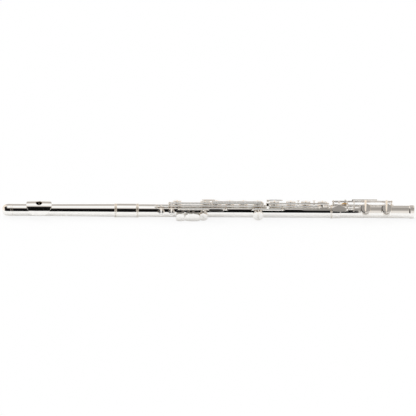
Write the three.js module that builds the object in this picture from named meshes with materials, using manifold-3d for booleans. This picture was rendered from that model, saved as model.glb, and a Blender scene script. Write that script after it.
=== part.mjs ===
// Alto flute in millimetres: X runs from the crown to the foot, Z points up through the main
// keys, and the player sits on the -Y side. Turns are degrees about the tube, from +Z to -Y.
import * as THREE from "three";
import { mergeVertices } from "three/addons/utils/BufferGeometryUtils.js";
import Module from "manifold-3d";

const wasm = await Module();
wasm.setup();

// Driving dimensions of the tube
const fluteLength = 870;
const embouchureAt = 79;
const boreRadius = 13;
const tubeWall = 0.5;
const bodyRadius = boreRadius + tubeWall;
const soundingLength = fluteLength - embouchureAt;
const tubeSides = 24;
const fitGap = 0.3;
const overrun = 4;

// How the flute lies on a table: on its rings and its thumb plate, keys turned up and away
const restingTurn = -22.3;

// Places along the sounding length, from the embouchure to the foot end
const holeShares = {
  trillDSharp: 0.3255,
  trillD: 0.3527,
  cSharp: 0.3679,
  c: 0.4425,
  thumb: 0.4377,
  bFlat: 0.4733,
  a: 0.508,
  g: 0.5442,
  lowG: 0.5825,
  gSharp: 0.5839,
  fSharp: 0.6271,
  f: 0.6707,
  e: 0.7105,
  d: 0.7547,
  eFlat: 0.8143,
  lowCSharp: 0.8698,
  lowC: 0.9256,
};
// How far round the tube the tone holes lie that aren't under the main keys
const trillHoleTurn = 98;
const thumbHoleTurn = 129;
const gSharpHoleTurn = 119.5;
const eFlatHoleTurn = -65;
const lowHoleTurn = 71.5;
const holeTurns = {
  trillDSharp: trillHoleTurn,
  trillD: trillHoleTurn,
  thumb: thumbHoleTurn,
  gSharp: gSharpHoleTurn,
  eFlat: eFlatHoleTurn,
  lowCSharp: lowHoleTurn,
  lowC: lowHoleTurn,
};
const bodyStartShare = 0.2326;
const bodyEndShare = 0.8003;
const upperStackShares = [0.3477, 0.4022, 0.4579, 0.4906, 0.5261, 0.5962];
const lowerStackShares = [0.6075, 0.6487, 0.6904, 0.7322, 0.7699];
const trillLineShares = [0.313, 0.3424, 0.6018, 0.694, 0.7459];
const thumbLineShares = [0.373, 0.3903, 0.4522, 0.4981];
const gSharpLineShares = [0.5702, 0.6485];
const footLineShares = [0.7838, 0.8192, 0.8374, 0.8965, 0.9389];
const mainRibShares = [0.3072, 0.7724];
const thumbRibShares = [0.3654, 0.5044];
const gSharpRibShares = [0.5639, 0.6549];
const footRibEndShare = 0.9444;
const headTaperShares = [0.0392, 0.1846];
const trillTouchDShare = 0.6905;
const trillTouchDSharpShare = 0.7326;
const bPlateShare = 0.409;
const gSharpLeverShare = 0.6094;
const paddleShare = 0.799;

// Head joint
const crownLength = 23;
const crownRadius = 12.9;
const crownRounding = 7.5;
const crownSkin = 9;
const crownTenonLength = 5;
const crownSeam = 0.5;
const roundingSteps = 4;
const headNarrowRadius = 12.65;
const tuningGap = 5;

// Stopper inside the head joint
const stopperFaceAt = 54.3;
const stopperPlateThickness = 1.5;
const stopperCorkLength = 14.5;
const stopperScrewRadius = 3;
const stopperScrewStart = 12;
const screwSides = 10;

// Embouchure
const embouchureTurn = 34;
const embouchureLength = 13.5;
const embouchureWidth = 12;
const embouchureSides = 10;
const riserWall = 2.2;
const lipHeight = 19;
const lipDepth = 17.5;
const lipHalfLength = 27;
const lipThickness = 1.1;
const lipWrap = 94;
const lipSteps = 12;
const lipNarrowingShare = 0.42;
const lipCentreShare = 0.1;
const lipPower = 1.6;

// Barrel between head and body
const barrelLength = 51;
const barrelWall = 0.7;
const barrelRingWidth = 4.8;
const barrelRingHeight = 0.7;
const barrelOnBody = 26;
const ringChamfer = 0.5;

// Foot joint
const socketDepth = 19;
const socketWall = 0.5;
const socketRingWidth = 4;
const socketRingHeight = 0.7;
const socketTaper = 2;
const footBeadWidth = 7.4;
const footBeadHeight = 0.9;
const footBeadInset = 4;
const footSeam = 1.2;

// Tone holes and their drawn rims
const mainHoleRadius = 8.5;
const trillHoleRadius = 4.6;
const chimneyWall = 0.9;
const mainRimHeight = 1.6;
const trillRimHeight = 1.2;
const chimneySides = 14;
const trillChimneySides = 10;

// Key cups and pads
const mainCupRadius = 10.5;
const cSharpCupRadius = 9.5;
const thumbCupRadius = 9.75;
const wideCupRadius = 11;
const trillCupRadius = 7.2;
const cupWall = 0.6;
const cupHeight = 2.8;
const cupDome = 0.6;
const cupRimRounding = 0.8;
const cupSkin = 0.7;
const padThickness = 2.6;
const padProud = 0.5;
const cupSides = 14;
const padSides = 12;

// Arms that carry the cups: shares of the way across, of the way up and of the arch
const armWidth = 3.8;
const armThickness = 1.3;
const armRise = 3.3;
const armSeat = 0.15;
const armTipShare = 0.25;
const armThinningShare = 0.3;
const armSteps = 5;
const armPathShares = [
  [1, 0, 0],
  [0.99, 0.5, 0.62],
  [0.71, 0.8, 1.05],
  [0.32, 1, 0.58],
  [0, 1, 0],
];

// Hinge lines
const steelRadius = 1;
const hingeRadius = 2;
const trillSleeveRadius = 1.8;
const hingeSides = 8;
const steelSides = 6;
const mainLineHeight = 9.7;
const trillLineHeight = 5.5;
const sideLineHeight = 6;
const footLineHeight = 7.6;
const mainLine = { turn: 41.9, distance: bodyRadius + mainLineHeight };
const trillLine = { turn: 52.2, distance: bodyRadius + trillLineHeight };
const sideLine = { turn: 73.8, distance: bodyRadius + sideLineHeight };
const footLine = { turn: 0, distance: bodyRadius + footLineHeight };

// Ribs and posts
const ribThickness = 1.2;
const ribSteps = 3;
const mainRibTurns = [37, 57];
const sideRibTurns = [66, 82];
const footRibTurns = [-8, 8];
const postBallRadius = 2.6;
const trillBallRadius = 2.2;
const sleeveBallRadius = 3;
const postNeckRadius = 1.2;
const postFlangeRadius = 2.2;
const postFlangeHeight = 0.8;
const postSides = 6;
const postBallShare = 0.72;

// How far the keys stand from closed, in degrees
const openTurn = 8;
const thumbOpenTurn = 5;

const degree = Math.PI / 180;
const boreClear = steelRadius + fitGap;

// Makes a solid from any closed three.js geometry.
function solid(geometry) {
  const bare = geometry.clone();
  bare.deleteAttribute("normal");
  bare.deleteAttribute("uv");
  const merged = mergeVertices(bare);
  const positions = merged.attributes.position.array;
  const corners = merged.index.array;
  const kept = [];
  for (let i = 0; i < corners.length; i += 3) {
    const [a, b, c] = corners.slice(i, i + 3);
    if (a !== b && b !== c && c !== a) {
      kept.push([a, b, c]);
    }
  }
  const outward = signedVolume(positions, kept) > 0;
  const triVerts = new Uint32Array(kept.flatMap(([a, b, c]) => (outward ? [a, b, c] : [a, c, b])));
  return new wasm.Manifold(new wasm.Mesh({ numProp: 3, vertProperties: positions, triVerts }));
}

function signedVolume(positions, triangles) {
  const corner = (i) => new THREE.Vector3().fromArray(positions, 3 * i);
  let total = 0;
  for (const [a, b, c] of triangles) {
    total += corner(a).dot(corner(b).cross(corner(c)));
  }
  return total;
}

function geometryOf(manifold) {
  const { vertProperties, triVerts } = manifold.getMesh();
  const geometry = new THREE.BufferGeometry();
  geometry.setAttribute("position", new THREE.BufferAttribute(new Float32Array(vertProperties), 3));
  geometry.setIndex(new THREE.BufferAttribute(new Uint32Array(triVerts), 1));
  geometry.computeVertexNormals();
  return geometry;
}

// Joins the first list of geometries and cuts the second list out of them.
function joined(added, removed = []) {
  let result = solid(added[0]);
  for (const geometry of added.slice(1)) {
    result = result.add(solid(geometry));
  }
  for (const geometry of removed) {
    result = result.subtract(solid(geometry));
  }
  return geometryOf(result);
}

// A place along the flute, from its share of the sounding length.
function along(share) {
  return embouchureAt + share * soundingLength;
}

// The Y and Z of a point round the tube.
function polar(turn, distance) {
  return [-distance * Math.sin(turn * degree), distance * Math.cos(turn * degree)];
}

// A round bar along X.
function rod(radius, from, to, [y, z] = [0, 0], sides = steelSides) {
  const bar = new THREE.CylinderGeometry(radius, radius, to - from, sides);
  return bar.rotateZ(-Math.PI / 2).translate((from + to) / 2, y, z);
}

// A profile of [radius, place] pairs turned round the X axis.
function turnedAlong(profile, sides = tubeSides) {
  const points = profile.map(([radius, x]) => new THREE.Vector2(radius, x));
  return new THREE.LatheGeometry(points, sides).rotateZ(-Math.PI / 2);
}

// A profile of [radius, height] pairs turned round the Z axis.
function turnedUp(profile, sides) {
  const points = profile.map(([radius, z]) => new THREE.Vector2(radius, z));
  return new THREE.LatheGeometry(points, sides).rotateX(Math.PI / 2);
}

// A closed skin over rings of corners, one after another.
function loft(rings) {
  const sides = rings[0].length;
  const corners = [];
  const triangle = (a, b, c) => corners.push(...a, ...b, ...c);
  for (let i = 1; i < rings.length; i++) {
    const [back, front] = [rings[i - 1], rings[i]];
    for (let j = 0; j < sides; j++) {
      const k = (j + 1) % sides;
      triangle(back[j], back[k], front[k]);
      triangle(back[j], front[k], front[j]);
    }
  }
  const [first, last] = [rings[0], rings[rings.length - 1]];
  for (let j = 2; j < sides; j++) {
    triangle(first[0], first[j], first[j - 1]);
    triangle(last[0], last[j - 1], last[j]);
  }
  const geometry = new THREE.BufferGeometry();
  return geometry.setAttribute("position", new THREE.Float32BufferAttribute(corners, 3));
}

// A band of metal through stations of [y, z, low X, high X, thickness].
function band(stations) {
  const rings = stations.map(([y, z, low, high, thickness], i) => {
    const before = stations[Math.max(i - 1, 0)];
    const after = stations[Math.min(i + 1, stations.length - 1)];
    const run = Math.hypot(after[0] - before[0], after[1] - before[1]);
    const outY = ((before[1] - after[1]) / run) * (thickness / 2);
    const outZ = ((after[0] - before[0]) / run) * (thickness / 2);
    const [top, bottom] = [[y + outY, z + outZ], [y - outY, z - outZ]];
    return [[low, ...top], [high, ...top], [high, ...bottom], [low, ...bottom]];
  });
  return loft(rings);
}

// A band round the tube, through rows of [turn, share of reach, left share, right share].
function sweptBand(rows, reach, at, width, thickness) {
  const stations = rows.map(([turn, reachShare, leftShare, rightShare]) => {
    const [y, z] = polar(turn, reach * reachShare);
    return [y, z, at - width * leftShare, at + width * rightShare, thickness];
  });
  return band(stations);
}

// The same, starting at a hinge line as wide as its first row.
function bandFromHinge(line, rows, reach, at, width, thickness) {
  const [, , leftShare, rightShare] = rows[0];
  const start = [line.turn, line.distance / reach, leftShare, rightShare];
  return sweptBand([start, ...rows], reach, at, width, thickness);
}

// A strip of the tube's own curve between two turns.
function curvedStrip(inner, outer, [startTurn, endTurn], from, to) {
  const shape = new THREE.Shape();
  const [start, end] = [Math.PI + startTurn * degree, Math.PI + endTurn * degree];
  shape.absarc(0, 0, outer, start, end, false);
  shape.absarc(0, 0, inner, end, start, true);
  const options = { depth: to - from, bevelEnabled: false, curveSegments: ribSteps };
  return new THREE.ExtrudeGeometry(shape, options).rotateY(Math.PI / 2).translate(from, 0, 0);
}

// Tone holes: place, turn round the tube, radii and rim
function toneHole(name) {
  const forTrill = name.startsWith("trill");
  const radius = forTrill ? trillHoleRadius : mainHoleRadius;
  const rim = bodyRadius + (forTrill ? trillRimHeight : mainRimHeight);
  const sides = forTrill ? trillChimneySides : chimneySides;
  return { x: along(holeShares[name]), turn: holeTurns[name] ?? 0, radius, rim, sides };
}

const holes = Object.fromEntries(Object.keys(holeShares).map((name) => [name, toneHole(name)]));
const footHoles = [holes.eFlat, holes.lowCSharp, holes.lowC];
const bodyHoles = Object.values(holes).filter((hole) => !footHoles.includes(hole));

// An upright cylinder over a tone hole, from the middle of the tube's wall outward.
function holePlug(hole, radius, top) {
  const bottom = boreRadius / 2;
  const plug = new THREE.CylinderGeometry(radius, radius, top - bottom, hole.sides);
  plug.rotateX(Math.PI / 2).translate(hole.x, 0, (top + bottom) / 2);
  return plug.rotateX(hole.turn * degree);
}

function chimney(hole) {
  return holePlug(hole, hole.radius + chimneyWall, hole.rim);
}

function chimneyRoom(hole) {
  return holePlug(hole, hole.radius + chimneyWall + fitGap, hole.rim + overrun);
}

function holeCut(hole) {
  return holePlug(hole, hole.radius, hole.rim + overrun);
}

const bodyStart = along(bodyStartShare);
const bodyEnd = along(bodyEndShare);
const headStart = crownLength + crownSeam;
const headEnd = bodyStart - tuningGap;
const barrelEnd = bodyStart + barrelOnBody;
const barrelStart = barrelEnd - barrelLength;
const footStart = bodyEnd - socketDepth;

// Crown: a rounded cap with a tenon in the head tube and a threaded hole for the stopper.
function crown() {
  const profile = [];
  for (let i = 0; i <= roundingSteps; i++) {
    const turn = (i / roundingSteps) * (Math.PI / 2);
    profile.push([crownRadius * Math.sin(turn), crownRounding * (1 - Math.cos(turn))]);
  }
  const tenonRadius = headNarrowRadius - tubeWall - fitGap;
  const tenonEnd = crownLength + crownTenonLength;
  const threadRadius = stopperScrewRadius + fitGap;
  profile.push([crownRadius, crownLength]);
  profile.push([tenonRadius, crownLength]);
  profile.push([tenonRadius, tenonEnd]);
  profile.push([threadRadius, tenonEnd]);
  profile.push([threadRadius, crownSkin]);
  profile.push([0, crownSkin]);
  return joined([turnedAlong(profile)]);
}

const stopperRadius = headNarrowRadius - tubeWall - fitGap;
const corkEnd = stopperFaceAt - stopperPlateThickness - fitGap;
const corkStart = corkEnd - stopperCorkLength;

// Stopper screw with the plate that closes the bore beside the embouchure.
function stopperScrew() {
  const plateStart = stopperFaceAt - stopperPlateThickness;
  const profile = [
    [0, stopperScrewStart],
    [stopperScrewRadius, stopperScrewStart],
    [stopperScrewRadius, plateStart],
    [stopperRadius, plateStart],
    [stopperRadius, stopperFaceAt],
    [0, stopperFaceAt],
  ];
  return joined([turnedAlong(profile, screwSides * 2)]);
}

// A ring on the stopper screw.
function stopperRing(from, to) {
  const inner = stopperScrewRadius + fitGap;
  const profile = [[inner, from], [stopperRadius, from], [stopperRadius, to], [inner, to], [inner, from]];
  return joined([turnedAlong(profile, screwSides * 2)]);
}

// The embouchure opening as an upright oval, grown all round by a margin.
function embouchureOval(margin) {
  const shape = new THREE.Shape();
  shape.absellipse(0, 0, embouchureLength / 2 + margin, embouchureWidth / 2 + margin, 0, 2 * Math.PI);
  const options = { depth: lipHeight + overrun, bevelEnabled: false, curveSegments: embouchureSides };
  const oval = new THREE.ExtrudeGeometry(shape, options);
  return oval.translate(embouchureAt, 0, 0).rotateX(embouchureTurn * degree);
}

// Head tube: parallel at both ends and tapered between.
function headTube() {
  const [taperStart, taperEnd] = headTaperShares.map(along);
  const profile = [
    [headNarrowRadius - tubeWall, headStart],
    [headNarrowRadius, headStart],
    [headNarrowRadius, taperStart],
    [bodyRadius, taperEnd],
    [bodyRadius, headEnd],
    [boreRadius, headEnd],
    [boreRadius, taperEnd],
    [headNarrowRadius - tubeWall, taperStart],
    [headNarrowRadius - tubeWall, headStart],
  ];
  return joined([turnedAlong(profile)], [embouchureOval(0)]);
}

// Riser: the short chimney between the head tube and the lip plate.
function embouchureRiser() {
  const shape = solid(embouchureOval(riserWall));
  const roomUnderPlate = lipThickness / 2 + fitGap;
  const under = rod(1, 0, fluteLength, [0, 0], tubeSides);
  under.scale(1, lipDepth - roomUnderPlate, lipHeight - roomUnderPlate);
  const limit = solid(under.rotateX(embouchureTurn * degree));
  const tube = solid(rod(headNarrowRadius + fitGap, 0, fluteLength, [0, 0], tubeSides));
  const hole = solid(embouchureOval(0));
  return geometryOf(shape.intersect(limit).subtract(tube).subtract(hole));
}

// Lip plate: an oval sheet wrapped round the head, highest at the embouchure.
function lipPlate() {
  const stations = [];
  for (let i = 0; i <= lipSteps; i++) {
    const share = (2 * i) / lipSteps - 1;
    const turn = share * lipWrap * degree;
    const narrowing = lipNarrowingShare * Math.abs(share - lipCentreShare) ** lipPower;
    const half = lipHalfLength * (1 - narrowing);
    const [y, z] = [-lipDepth * Math.sin(turn), lipHeight * Math.cos(turn)];
    stations.push([y, z, embouchureAt - half, embouchureAt + half, lipThickness]);
  }
  return joined([band(stations).rotateX(embouchureTurn * degree)], [embouchureOval(0)]);
}

// Barrel: a sleeve over head and body tubes with a raised ring at each end.
function barrel() {
  const inner = bodyRadius + fitGap;
  const outer = inner + barrelWall;
  const ring = outer + barrelRingHeight;
  const profile = [
    [inner, barrelStart],
    [ring, barrelStart],
    [ring, barrelStart + barrelRingWidth],
    [outer, barrelStart + barrelRingWidth + ringChamfer],
    [outer, barrelEnd - barrelRingWidth - ringChamfer],
    [ring, barrelEnd - barrelRingWidth],
    [ring, barrelEnd],
    [inner, barrelEnd],
    [inner, barrelStart],
  ];
  return joined([turnedAlong(profile)]);
}

function bodyTube() {
  const outside = rod(bodyRadius, bodyStart, bodyEnd, [0, 0], tubeSides);
  const inside = rod(boreRadius, bodyStart - overrun, bodyEnd + overrun, [0, 0], tubeSides);
  return joined([outside, ...bodyHoles.map(chimney)], [inside, ...bodyHoles.map(holeCut)]);
}

// Foot tube: a socket over the body's end, then the tube with a bead near its open end.
function footTube() {
  const socketInner = bodyRadius + fitGap;
  const socketOuter = socketInner + socketWall;
  const ring = socketOuter + socketRingHeight;
  const shoulder = bodyEnd + footSeam;
  const beadEnd = fluteLength - footBeadInset;
  const beadStart = beadEnd - footBeadWidth;
  const bead = bodyRadius + footBeadHeight;
  const outside = [
    [0, footStart],
    [ring, footStart],
    [ring, footStart + socketRingWidth],
    [socketOuter, footStart + socketRingWidth + ringChamfer],
    [socketOuter, shoulder],
    [bodyRadius, shoulder + socketTaper],
    [bodyRadius, beadStart],
    [bead, beadStart + ringChamfer],
    [bead, beadEnd - ringChamfer],
    [bodyRadius, beadEnd],
    [bodyRadius, fluteLength],
    [0, fluteLength],
  ];
  const inside = [
    [0, footStart - overrun],
    [socketInner, footStart - overrun],
    [socketInner, shoulder],
    [boreRadius, shoulder],
    [boreRadius, fluteLength + overrun],
    [0, fluteLength + overrun],
  ];
  const added = [turnedAlong(outside), ...footHoles.map(chimney)];
  return joined(added, [turnedAlong(inside), ...footHoles.map(holeCut)]);
}

// A post: flange on the rib, slim neck and a ball round the hinge line.
function post(x, line, ribRadius, ball = postBallRadius) {
  const foot = ribRadius - ribThickness / 2;
  const flange = ribRadius + postFlangeHeight;
  const side = ball * postBallShare;
  const profile = [
    [0, foot],
    [postFlangeRadius, foot],
    [postFlangeRadius, flange],
    [postNeckRadius, flange + postFlangeHeight],
    [postNeckRadius, line.distance - ball],
    [ball, line.distance],
    [side, line.distance + side],
    [0, line.distance + ball],
  ];
  return turnedUp(profile, postSides).translate(x, 0, 0).rotateX(line.turn * degree);
}

const ribInner = bodyRadius + fitGap;
const ribOuter = ribInner + ribThickness;
const mainAt = polar(mainLine.turn, mainLine.distance);
const trillAt = polar(trillLine.turn, trillLine.distance);
const sideAt = polar(sideLine.turn, sideLine.distance);
const footAt = polar(footLine.turn, footLine.distance);
const upperX = upperStackShares.map(along);
const lowerX = lowerStackShares.map(along);
const trillX = trillLineShares.map(along);
const thumbX = thumbLineShares.map(along);
const gSharpX = gSharpLineShares.map(along);
const footX = footLineShares.map(along);

// Main rib: carries the posts of both stacks and of the trill keys, hollowed round the chimneys.
function mainRib() {
  const strip = curvedStrip(ribInner, ribOuter, mainRibTurns, ...mainRibShares.map(along));
  const mainPosts = [upperX[0], upperX[2], upperX[5], lowerX[0], lowerX[4]];
  const posts = mainPosts.map((x) => post(x, mainLine, ribOuter));
  const trillEnds = [trillX[0], trillX[4]];
  posts.push(...trillEnds.map((x) => post(x, trillLine, ribOuter, trillBallRadius)));
  posts.push(post(trillX[2], trillLine, ribOuter, sleeveBallRadius));
  const ends = [bodyStart, bodyEnd];
  const sleeveEnds = [trillX[2] - sleeveBallRadius * 2, trillX[2] + sleeveBallRadius * 2];
  const bores = [rod(boreClear, ...ends, mainAt), rod(boreClear, ...ends, trillAt)];
  bores.push(rod(trillSleeveRadius + fitGap, ...sleeveEnds, trillAt, hingeSides));
  const scallops = bodyHoles.filter((hole) => hole.turn === 0).map(chimneyRoom);
  const ribSolid = solid(joined([strip], scallops));
  const withPosts = posts.reduce((sum, one) => sum.add(solid(one)), ribSolid);
  return geometryOf(bores.reduce((sum, one) => sum.subtract(solid(one)), withPosts));
}

// A side rib with one post at each end of its hinge line.
function sideRib(shares, postPlaces, hole) {
  const [from, to] = shares.map(along);
  const strip = curvedStrip(ribInner, ribOuter, sideRibTurns, from, to);
  const posts = postPlaces.map((x) => post(x, sideLine, ribOuter));
  const bore = rod(boreClear, from - overrun, to + overrun, sideAt);
  return joined([joined([strip], [chimneyRoom(hole)]), ...posts], [bore]);
}

// Foot rib: steps down from the socket to the foot tube.
function footRib() {
  const socketOuter = bodyRadius + fitGap + socketWall;
  const highInner = socketOuter + fitGap;
  const highEnd = bodyEnd + footSeam + socketTaper + ribThickness * 2;
  const lowStart = highEnd - ribThickness;
  const high = curvedStrip(
    highInner,
    highInner + ribThickness,
    footRibTurns,
    footStart + socketRingWidth + ringChamfer,
    highEnd,
  );
  const low = curvedStrip(ribInner, ribOuter, footRibTurns, lowStart, along(footRibEndShare));
  const posts = [post(footX[0], footLine, highInner + ribThickness), post(footX[4], footLine, ribOuter)];
  return joined([high, low, ...posts], [rod(boreClear, footStart, fluteLength, footAt)]);
}

// A hinge steel between its end posts.
function steel(from, to, at, ball = postBallRadius) {
  return joined([rod(steelRadius, from - ball, to + ball, at)]);
}

const padBottom = bodyRadius + mainRimHeight + fitGap;
const cupBottom = padBottom + padProud;
const cupEdgeTop = cupBottom + cupHeight;
const cupTop = cupEdgeTop + cupDome;
const trillDrop = mainRimHeight - trillRimHeight;

// A key cup over its tone hole: domed top, rounded rim and the recess for the pad.
function cup(hole, radius) {
  const ceiling = cupEdgeTop - cupSkin;
  const profile = [
    [0, cupTop],
    [radius - cupRimRounding, cupEdgeTop],
    [radius, cupEdgeTop - cupRimRounding],
    [radius, cupBottom],
    [radius - cupWall, cupBottom],
    [radius - cupWall, ceiling],
    [0, ceiling],
  ];
  return seated(turnedUp(profile, cupSides), hole);
}

// Moves a piece made over the main rim height to its own tone hole.
function seated(geometry, hole) {
  const drop = hole.radius === trillHoleRadius ? trillDrop : 0;
  return geometry.translate(hole.x, 0, -drop).rotateX(hole.turn * degree);
}

function pad(hole, cupRadius) {
  const radius = cupRadius - cupWall - fitGap;
  const disc = new THREE.CylinderGeometry(radius, radius, padThickness, padSides).rotateX(Math.PI / 2);
  return joined([seated(disc.translate(0, 0, padBottom + padThickness / 2), hole)]);
}

// An arm from the hinge line, arched over the rim of the cup and pointed at its middle.
function arm(line, hole, at = hole.x) {
  const [hingeY, hingeZ] = polar(line.turn - hole.turn, line.distance);
  const drop = hole.radius === trillHoleRadius ? trillDrop : 0;
  const seat = cupTop + armSeat - drop;
  const points = armPathShares.map(([acrossShare, upShare, archShare]) => {
    const z = hingeZ + (seat - hingeZ) * upShare + armRise * archShare;
    return new THREE.Vector3(0, hingeY * acrossShare, z);
  });
  const curve = new THREE.CatmullRomCurve3(points);
  const stations = [];
  for (let i = 0; i <= armSteps; i++) {
    const share = i / armSteps;
    const { y, z } = curve.getPoint(share);
    const x = at + (hole.x - at) * share;
    const half = (armWidth / 2) * (1 - (1 - armTipShare) * share ** 2);
    stations.push([y, z, x - half, x + half, armThickness * (1 - armThinningShare * share)]);
  }
  return band(stations).rotateX(hole.turn * degree);
}

// A tube that turns on a steel.
function hingeTube(from, to, at, radius = hingeRadius) {
  return rod(radius, from, to, at, hingeSides);
}

// Finishes a key: joins its pieces and bores the hinge tube.
function finished(pieces, from, to, at, bore = boreClear) {
  return joined(pieces, [rod(bore, from - overrun, to + overrun, at, hingeSides)]);
}

// The two ends of a hinge tube between posts or neighbours.
function betweenPosts(left, right) {
  return [left + postBallRadius + fitGap, right - postBallRadius - fitGap];
}
function postToJoint(left, right) {
  return [left + postBallRadius + fitGap, right - fitGap / 2];
}
function jointToPost(left, right) {
  return [left + fitGap / 2, right - postBallRadius - fitGap];
}
function betweenJoints(left, right) {
  return [left + fitGap / 2, right - fitGap / 2];
}

// A plain stack key: one hinge tube, and an arm and cup for each tone hole.
function stackKey(ends, keyHoles, radius, extras = []) {
  const pieces = [hingeTube(...ends, mainAt)];
  for (const hole of keyHoles) {
    pieces.push(arm(mainLine, hole), cup(hole, radius));
  }
  return finished([...pieces, ...extras], ...ends, mainAt);
}

// The stiffening bar above the hinge tubes of the left-hand stack.
const bridgeRadius = 1.6;
const bridgeRise = 3.3;
function bridge([from, to]) {
  return rod(bridgeRadius, from, to, [mainAt[0], mainAt[1] + bridgeRise], hingeSides);
}

// Finger plate of the C key: from beside its cup to just short of the B flat arm.
const cPlateClearance = 1.1;
const cPlateEndShare = 0.75;
const cPlateRoom = holes.bFlat.x - holes.c.x - armWidth / 2 - cPlateClearance;
const cPlateLength = cPlateRoom / cPlateEndShare;
const cPlateThickness = 1.4;
const cPlateReach = 25.2;
const cPlateShares = [
  [29, 1, 0.16, 0.62],
  [25, 0.99, 0.22, 0.74],
  [18, 0.955, 0.25, cPlateEndShare],
  [11, 0.93, 0.2, 0.7],
];
function cPlate() {
  return sweptBand(cPlateShares, cPlateReach, holes.c.x, cPlateLength, cPlateThickness);
}

// Trill keys: the cups sit near the head and the touches between the right-hand cups.
const trillReach = 28.3;
const trillTouchLength = 7;
const trillTouchThickness = 1.5;
const trillLeverShares = [
  [54.3, 0.85, 0.2, 0.2],
  [51, 0.93, 0.2, 0.2],
  [47.7, 0.972, 0.2, 0.2],
  [38.2, 1, 0.2, 0.2],
  [27, 0.936, 0.3, 0.3],
  [22, 0.885, 0.5, 0.5],
  [12.5, 0.816, 0.4, 0.4],
];
function trillTouch(at) {
  const rows = trillLeverShares;
  return bandFromHinge(trillLine, rows, trillReach, at, trillTouchLength, trillTouchThickness);
}

function trillDSharpKey() {
  const left = [trillX[0] + trillBallRadius + fitGap, trillX[1] - fitGap / 2];
  const right = [trillX[3] + fitGap / 2, trillX[4] - trillBallRadius - fitGap];
  const hole = holes.trillDSharp;
  return joined([
    rod(steelRadius, trillX[0] - trillBallRadius, trillX[4] + trillBallRadius, trillAt),
    hingeTube(...left, trillAt, trillSleeveRadius),
    hingeTube(...right, trillAt, trillSleeveRadius),
    arm(trillLine, hole),
    cup(hole, trillCupRadius),
    trillTouch(along(trillTouchDSharpShare)),
  ]);
}

function trillDKey() {
  const ends = betweenJoints(trillX[1], trillX[3]);
  const hole = holes.trillD;
  const pieces = [
    hingeTube(...ends, trillAt, trillSleeveRadius),
    arm(trillLine, hole),
    cup(hole, trillCupRadius),
    trillTouch(along(trillTouchDShare)),
  ];
  return finished(pieces, ...ends, trillAt);
}

// Thumb keys: curved plates under the near side of the body.
const plateReach = 22.1;
const plateThickness = 1.2;
const thumbArmWidth = 3;
const bPlateLength = 31;
const platesGap = 1;
const bFlatPlateLength = 18;
const thumbArmPathShares = [
  [80, 1.005, 0.5, 0.5],
  [88, 1.02, 0.5, 0.5],
  [97, 1.01, 0.5, 0.5],
  [107, 1, 0.5, 0.5],
];
const thumbPlateShares = [
  [103, 1, 0.3, 0.3],
  [108, 1, 0.44, 0.44],
  [117, 1, 0.5, 0.5],
  [130, 1, 0.5, 0.5],
  [143, 1, 0.5, 0.5],
  [155, 1, 0.47, 0.47],
];

// Places of the plates and, as shares of a plate's length from its middle, of their arms
const bPlateAt = along(bPlateShare);
const bFlatPlateAt = bPlateAt - (bPlateLength + bFlatPlateLength) / 2 - platesGap;
const bArmShares = [-0.277, 0.055];
const bFlatArmShare = 0.333;

function thumbArm(at) {
  const rows = thumbArmPathShares;
  return bandFromHinge(sideLine, rows, plateReach, at, thumbArmWidth, plateThickness);
}

function thumbBKey() {
  const ends = betweenJoints(thumbX[1], thumbX[2]);
  const pieces = [
    hingeTube(...ends, sideAt),
    arm(sideLine, holes.thumb),
    cup(holes.thumb, thumbCupRadius),
    ...bArmShares.map((share) => thumbArm(bPlateAt + share * bPlateLength)),
    sweptBand(thumbPlateShares, plateReach, bPlateAt, bPlateLength, plateThickness),
  ];
  return finished(pieces, ...ends, sideAt);
}

// The B flat lever: one steel with its own sleeves, plate and a flat tail on the right.
const tailLength = 31;
const tailShares = [
  [76, 0.965, 0, 0.85],
  [82, 0.968, 0, 1],
  [88, 0.98, 0, 1],
  [93, 0.995, 0, 0.72],
];
function thumbBFlatKey() {
  const left = [thumbX[0] + postBallRadius + fitGap, thumbX[1] - fitGap / 2];
  const right = [thumbX[2] + fitGap / 2, thumbX[3] - postBallRadius - fitGap];
  return joined([
    rod(steelRadius, thumbX[0] - postBallRadius, thumbX[3] + postBallRadius, sideAt),
    hingeTube(...left, sideAt),
    hingeTube(...right, sideAt),
    thumbArm(bFlatPlateAt + bFlatArmShare * bFlatPlateLength),
    sweptBand(thumbPlateShares, plateReach, bFlatPlateAt, bFlatPlateLength, plateThickness),
    sweptBand(tailShares, plateReach, right[0], tailLength, plateThickness),
  ]);
}

// G sharp: cup on the near side and a lever over the stack to its touch on the far side.
const gSharpReach = 26.4;
const gSharpLeverWidth = 5;
const gSharpTouchLength = 33;
const gSharpTouchLap = 1;
const gSharpTouchThickness = 1.4;
const gSharpPathShares = [
  [67, 0.84, 0.5, 0.5],
  [60.3, 0.95, 0.5, 0.5],
  [51, 1.055, 0.5, 0.5],
  [42.8, 1.095, 0.5, 0.5],
  [27, 1.03, 0.5, 0.5],
  [13, 0.94, 0.5, 0.5],
  [0, 0.92, 0.5, 0.5],
  [-15, 0.925, 0.5, 0.5],
  [-28, 0.96, 0.5, 0.5],
  [-36, 0.985, 0.5, 0.5],
];
const gSharpTouchShares = [
  [-29, 0.965, 0.38, 0.3],
  [-32, 0.98, 0.5, 0.46],
  [-36, 0.99, 0.5, 0.5],
  [-41, 0.985, 0.46, 0.46],
];
function gSharpKey() {
  const ends = betweenPosts(...gSharpX);
  const leverAt = along(gSharpLeverShare);
  const touchAt = leverAt + gSharpTouchLength / 2 - gSharpTouchLap;
  const [reach, thickness] = [gSharpReach, gSharpTouchThickness];
  const pieces = [
    hingeTube(...ends, sideAt),
    arm(sideLine, holes.gSharp),
    cup(holes.gSharp, wideCupRadius),
    bandFromHinge(sideLine, gSharpPathShares, reach, leverAt, gSharpLeverWidth, thickness),
    sweptBand(gSharpTouchShares, reach, touchAt, gSharpTouchLength, thickness),
  ];
  return finished(pieces, ...ends, sideAt);
}

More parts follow.
